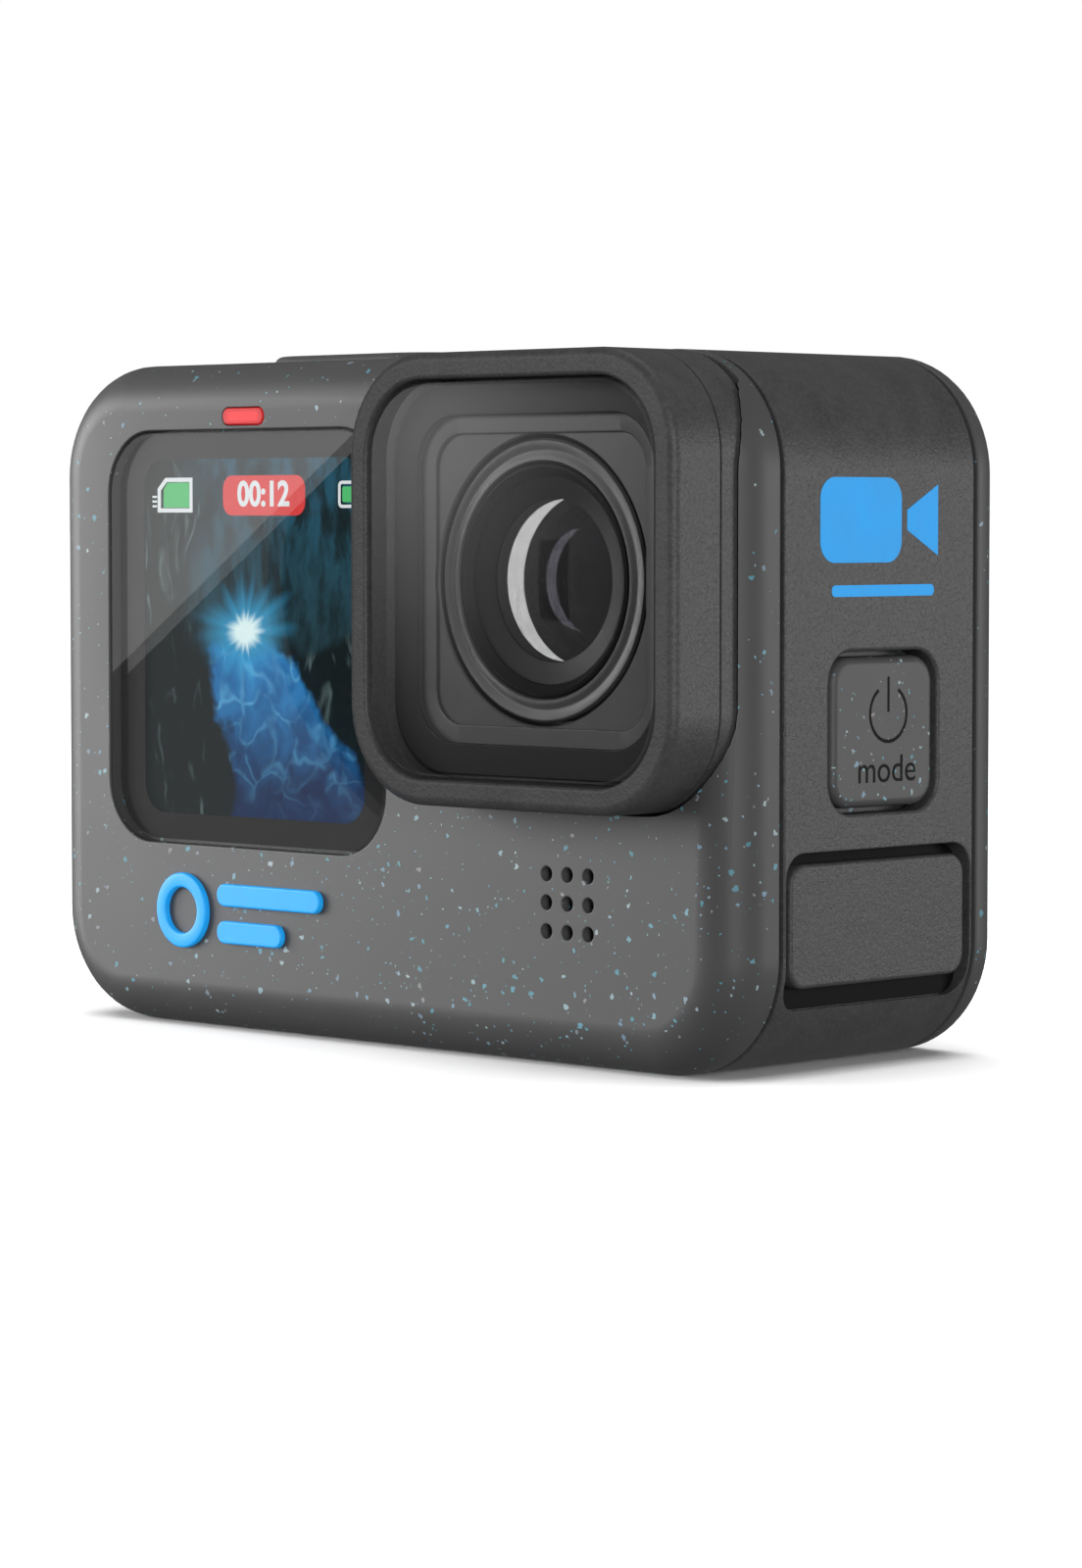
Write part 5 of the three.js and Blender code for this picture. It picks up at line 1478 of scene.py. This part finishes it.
def finger(side):
    low, high = finger_low, finger_high
    radius = (high.y - low.y) / 2
    tip = high.x - radius
    arc = [math.pi * (i / 32 - 0.5) for i in range(33)]
    outline = [(tip + radius * math.cos(a), radius * math.sin(a)) for a in arc]
    outline += [(FINGER_AXIS_X, radius), (FINGER_AXIS_X, -radius)]
    blade = prism("top", (0, BAND_MIDDLE, low.z), outline, high.z - low.z)
    round_rim(blade, Z, low.z, BLADE_RIM, 3)
    round_rim(blade, Z, high.z, BLADE_RIM, 3)
    knuckles = [rod(FINGER_AXIS_X, FINGER_AXIS_Z, (high.z - low.z) / 2 - 0.02, y0, y1, 40)
                for y0, y1 in ((low.y + 0.03, low.y + KNUCKLE_WIDTH),
                               (high.y - KNUCKLE_WIDTH, high.y - 0.03))]
    notch = block((0, BAND_MIDDLE - 4.6, -1), (4.6, BAND_MIDDLE + 4.6, high.z + 1))
    wide = EYE_RADIUS + EYE_CHAMFER
    eye = turned([(0, -1), (wide, -1), (wide, low.z - 0.05), (EYE_RADIUS, low.z + 0.2),
                  (EYE_RADIUS, high.z - 0.2), (wide, high.z + 0.05), (wide, high.z + 1), (0, high.z + 1)],
                 tip, 0, 56, False, Z, BAND_MIDDLE)
    well = rod(0, 0, 4.9, -1, high.z + 1, 56, Z, BAND_MIDDLE)
    bore = rod(FINGER_AXIS_X, FINGER_AXIS_Z, PIN_BORE, low.y - 1, high.y + 1, 24)
    shape = carved(joined(blade, *knuckles), notch, eye, well, bore)
    if side < 0:
        bmesh.ops.scale(shape, vec=(-1, 1, 1), verts=shape.verts)
        bmesh.ops.reverse_faces(shape, faces=shape.faces)
    return shape


piece("right_blade", finger(1), BLACK_PLASTIC, "right_finger", ["finger_right"])
piece("left_blade", finger(-1), BLACK_PLASTIC, "left_finger", ["finger_left"])
print("fingers", made[-2:])

# %% [markdown]
# ## The tripod thread
#
# Inside the base sits a turned brass insert. Its screw thread is a ridge that climbs once each turn, so
# a triangle is carried up a helix and joined to a smooth bore. From outside it reads as fine rings of
# light in the hole.

# %% Tripod thread
insert_low, insert_high = span("thread_insert")
THREAD_PITCH = 1.27
BORE = 3.1


def thread_insert():
    flange_radius = (insert_high.x - insert_low.x) / 2
    seat = 5.0
    chamfer = 0.3
    body = turned([
        (BORE + chamfer, insert_low.z), (4.3 - 0.15, insert_low.z), (4.3, insert_low.z + 0.15),
        (4.3, seat), (flange_radius, seat), (flange_radius, insert_high.z), (0.001, insert_high.z),
        (0.001, insert_high.z - 0.5), (BORE, insert_high.z - 0.5), (BORE, insert_low.z + chamfer)],
        0, 0, 72, axis=Z, y=BAND_MIDDLE)
    return body


def thread_ridge():
    """A helical ridge along the bore's wall, with closed ends."""
    bm = bmesh.new()
    turns, steps = 3.2, 48
    crest, half = 0.34, THREAD_PITCH * 0.36
    rings = []
    for i in range(int(turns * steps) + 1):
        angle = 2 * math.pi * i / steps
        z = insert_low.z + 0.5 + THREAD_PITCH * i / steps
        out = Vector((math.cos(angle), math.sin(angle), 0))
        centre = Vector((0, BAND_MIDDLE, z))
        rings.append([bm.verts.new(centre + out * r + Vector((0, 0, h)))
                      for r, h in ((BORE + 0.1, -half), (BORE - crest, -0.05),
                                   (BORE - crest, 0.05), (BORE + 0.1, half))])
    for one, two in zip(rings, rings[1:]):
        for a, b, c, d in zip(one, one[1:] + one[:1], two[1:] + two[:1], two):
            bm.faces.new((a, b, c, d))
    bm.faces.new(rings[0])
    bm.faces.new(rings[-1])
    bmesh.ops.recalc_face_normals(bm, faces=bm.faces)
    return bm


piece("turned_insert", thread_insert(), BRASS, "camera_body", ["thread_insert"])
piece("thread_ridge", thread_ridge(), BRASS, "camera_body")
print("thread of", THREAD_PITCH, "mm pitch")

# %% [markdown]
# ## Finishing the parts that stay
#
# The boards, seals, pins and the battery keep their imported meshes, because little of them shows. Their
# triangles are loose, so a weld joins them, a small bevel catches the light along their edges, and each
# gets the material that suits it.

# %% Inside parts
KEPT = [
    (STEEL, ["microphone", "mode_switch", "speaker", "shutter_switch", "door_pin", "usb_c_port",
             "microsd_socket", "lens_screw_1", "lens_screw_2", "lens_screw_3", "lens_screw_4",
             "finger_pin_1", "finger_pin_2", "finger_pin_3", "finger_pin_4"]),
    (RUBBER, ["cover_seal", "mode_seal", "shutter_seal", "door_gasket"]),
    (BLACK_PLASTIC, ["mic_mesh", "aperture_stop", "battery_tab", "battery_bay", "port_bezel"]),
    (ALUMINIUM, ["lens_bracket", "heat_spreader"]),
    (CIRCUIT, ["sensor_board", "main_board"]),
    (GLOSS_BLACK, ["image_sensor"]),
    (BATTERY_WRAP, ["battery"]),
    (CARD_BLACK, ["microsd_card"]),
    (VIOLET_GLASS, ["rear_element"]),
]
EDGE_SOFTNESS = 0.08

for material, nodes in KEPT:
    for node in nodes:
        part = bpy.data.objects[node]
        part.data.materials.clear()
        part.data.materials.append(material)
        part.modifiers.new("weld", "WELD").merge_threshold = 0.001 * MM
        rounding = part.modifiers.new("soft_edges", "BEVEL")
        rounding.width = EDGE_SOFTNESS * MM
        rounding.segments = 2
        rounding.limit_method = "ANGLE"
        rounding.angle_limit = math.radians(35)
        rounding.use_clamp_overlap = True
print("kept parts", sum(len(nodes) for _, nodes in KEPT))

# %% [markdown]
# ## Light on the glass
#
# A pane shows what it mirrors, so the light on it is set like a still-life photographer's: with cards.
# Where a card has to stand follows from the mirror rule. The camera is reflected in the plane of the
# pane, and each point of the glass is the middle of the line from that mirrored camera to a point of the
# card. Each card shines on its own pane alone, which keeps it from spoiling the body.

# %% Reflection cards
def mirrored(x, z):
    """The point of the cards' plane that the camera sees mirrored at one place on the glass."""
    return Vector((2 * x - CAMERA_PLACE.x, CAMERA_PLACE.y, 2 * z - CAMERA_PLACE.z))


def card(name, corners, finish, *receivers):
    """A glowing polygon that the camera doesn't see itself."""
    mesh = bpy.data.meshes.new(name)
    mesh.from_pydata([Vector(c) * MM for c in corners], [], [range(len(corners))])
    mesh.materials.append(finish.material)
    obj = bpy.data.objects.new(name, mesh)
    bpy.context.collection.objects.link(obj)
    obj.visible_camera = False
    obj.visible_diffuse = False
    obj.visible_shadow = False
    only_for(obj, *receivers)
    return obj


def card_finish(name):
    return Finish(name, Base_Color=(0, 0, 0, 1), Roughness=1.0, Specular_IOR_Level=0.0)


front_pane = bpy.data.objects["front_pane"]
cover_glass = bpy.data.objects["cover_pane"]

GLARE_EDGE = ((-29.13, 26.47), (-1.82, 44.59))
GLARE_STRENGTH = 0.85
GLARE_NEARNESS = 0.05
(gx0, gz0), (gx1, gz1) = GLARE_EDGE
slope = (gz1 - gz0) / (gx1 - gx0)
glare_left, glare_right, glare_top = gx0 - 2, gx1 + 5.5, 50
glare_on_glass = [(glare_left, gz0 + (glare_left - gx0) * slope),
                  (glare_right, gz0 + (glare_right - gx0) * slope),
                  (glare_right, glare_top + 2), (glare_left, glare_top)]
pane_front = span("front_glass")[0].y
glare_corners = [Vector((x, pane_front, z)).lerp(mirrored(x, z), GLARE_NEARNESS)
                 for x, z in glare_on_glass]
glare = card_finish("glare_card")
drift = glare.noise(120, detail=1)
glare.glow(glare.mix(drift, grey(0.85), grey(1.0)), GLARE_STRENGTH)
glare_card = card("glare_card", glare_corners, glare, front_pane)

COVER_GLOW = 1.0
soft = card_finish("cover_glow_card")
cover_left, cover_top = cover_low.x, cover_high.z
start = mirrored(cover_left, cover_top)
down = (soft.axis(Z) - (start[2] - 70)) / 70
right = (soft.axis(X) - start[0]) / 75
fade = (down.ramp(0.0, 1.05) ** 1.3) * right.ramp(0.85, -0.2)
soft.glow(soft.mix(fade, grey(0.0), grey(1.0)), COVER_GLOW)
soft_card = card("cover_glow_card", [
    mirrored(cover_left + 1.6, cover_top + 2), mirrored(cover_high.x + 2, cover_top + 2),
    mirrored(cover_high.x + 2, cover_low.z - 2), mirrored(cover_left + 1.6, cover_low.z - 2)],
    soft, cover_glass)
well_box = softbox("well_softbox", (LENS.x - 30, -75, LENS.z + 34), tuple(LENS), 26, 26, 14.0)
only_for(well_box, bpy.data.objects["stepped_baffle"])

lens_glasses = [dome, coated, bpy.data.objects["rear_element"]]
ring_parts = [bpy.data.objects[name] for name in ("lens_cover_ring", "lens_collar", "stepped_baffle")]
for light in (face_box, edge_box, side_box):
    never_on(light, front_pane, cover_glass, *lens_glasses)
never_on(sheen_box, front_pane, cover_glass, *lens_glasses, *ring_parts)
print("cards", glare_card.name, soft_card.name)

# %% [markdown]
# The lens itself mirrors a bright sickle. It's the reflection of a curved card far to the left. For each
# point on the sickle's outline, the camera's line of sight is bounced off the dome and followed until it
# meets the plane that the card hangs in, so the card gets the one outline that looks right in the glass.

# %% Sickle card
SICKLE_PLANE = LENS.x - 100
SICKLE_STRENGTH = 5.5
SICKLE_SHIFT = 1.2
INNER_CENTRE, INNER_RADIUS = SICKLE_SHIFT + 2.25, 6.15
INNER_HALF_ANGLE = math.radians(66)
OUTER_RADIUS = 5.66
OUTER_HALF_ANGLE = math.radians(88)


def bounced(across, up):
    """Where a line of sight lands on the card's plane after it meets the dome at one point."""
    rise = math.sqrt(DOME_CURVE ** 2 - across ** 2 - up ** 2)
    point = Vector((LENS.x + across, DOME_RIM - DOME_SAG + DOME_CURVE - rise, LENS.z + up))
    normal = Vector((across, -rise, up)).normalized()
    seen_from = (CAMERA_PLACE - point).normalized()
    leaving = 2 * normal.dot(seen_from) * normal - seen_from
    return point + leaving * ((SICKLE_PLANE - point.x) / leaving.x)


def arc_points(centre, radius, half_angle, count=32):
    angles = [math.pi - half_angle + 2 * half_angle * i / count for i in range(count + 1)]
    return [(centre + radius * math.cos(a), radius * math.sin(a)) for a in angles]


sickle_outline = (arc_points(INNER_CENTRE, INNER_RADIUS, INNER_HALF_ANGLE)
                  + arc_points(SICKLE_SHIFT, OUTER_RADIUS, OUTER_HALF_ANGLE)[::-1])
sickle = card_finish("sickle_card")
sickle.glow(sickle.mix(sickle.noise(90, detail=1), grey(0.9), grey(1.0)), SICKLE_STRENGTH)
sickle_card = card("sickle_card", [bounced(*point) for point in sickle_outline], sickle, dome, coated)
print("sickle of", len(sickle_outline), "points")
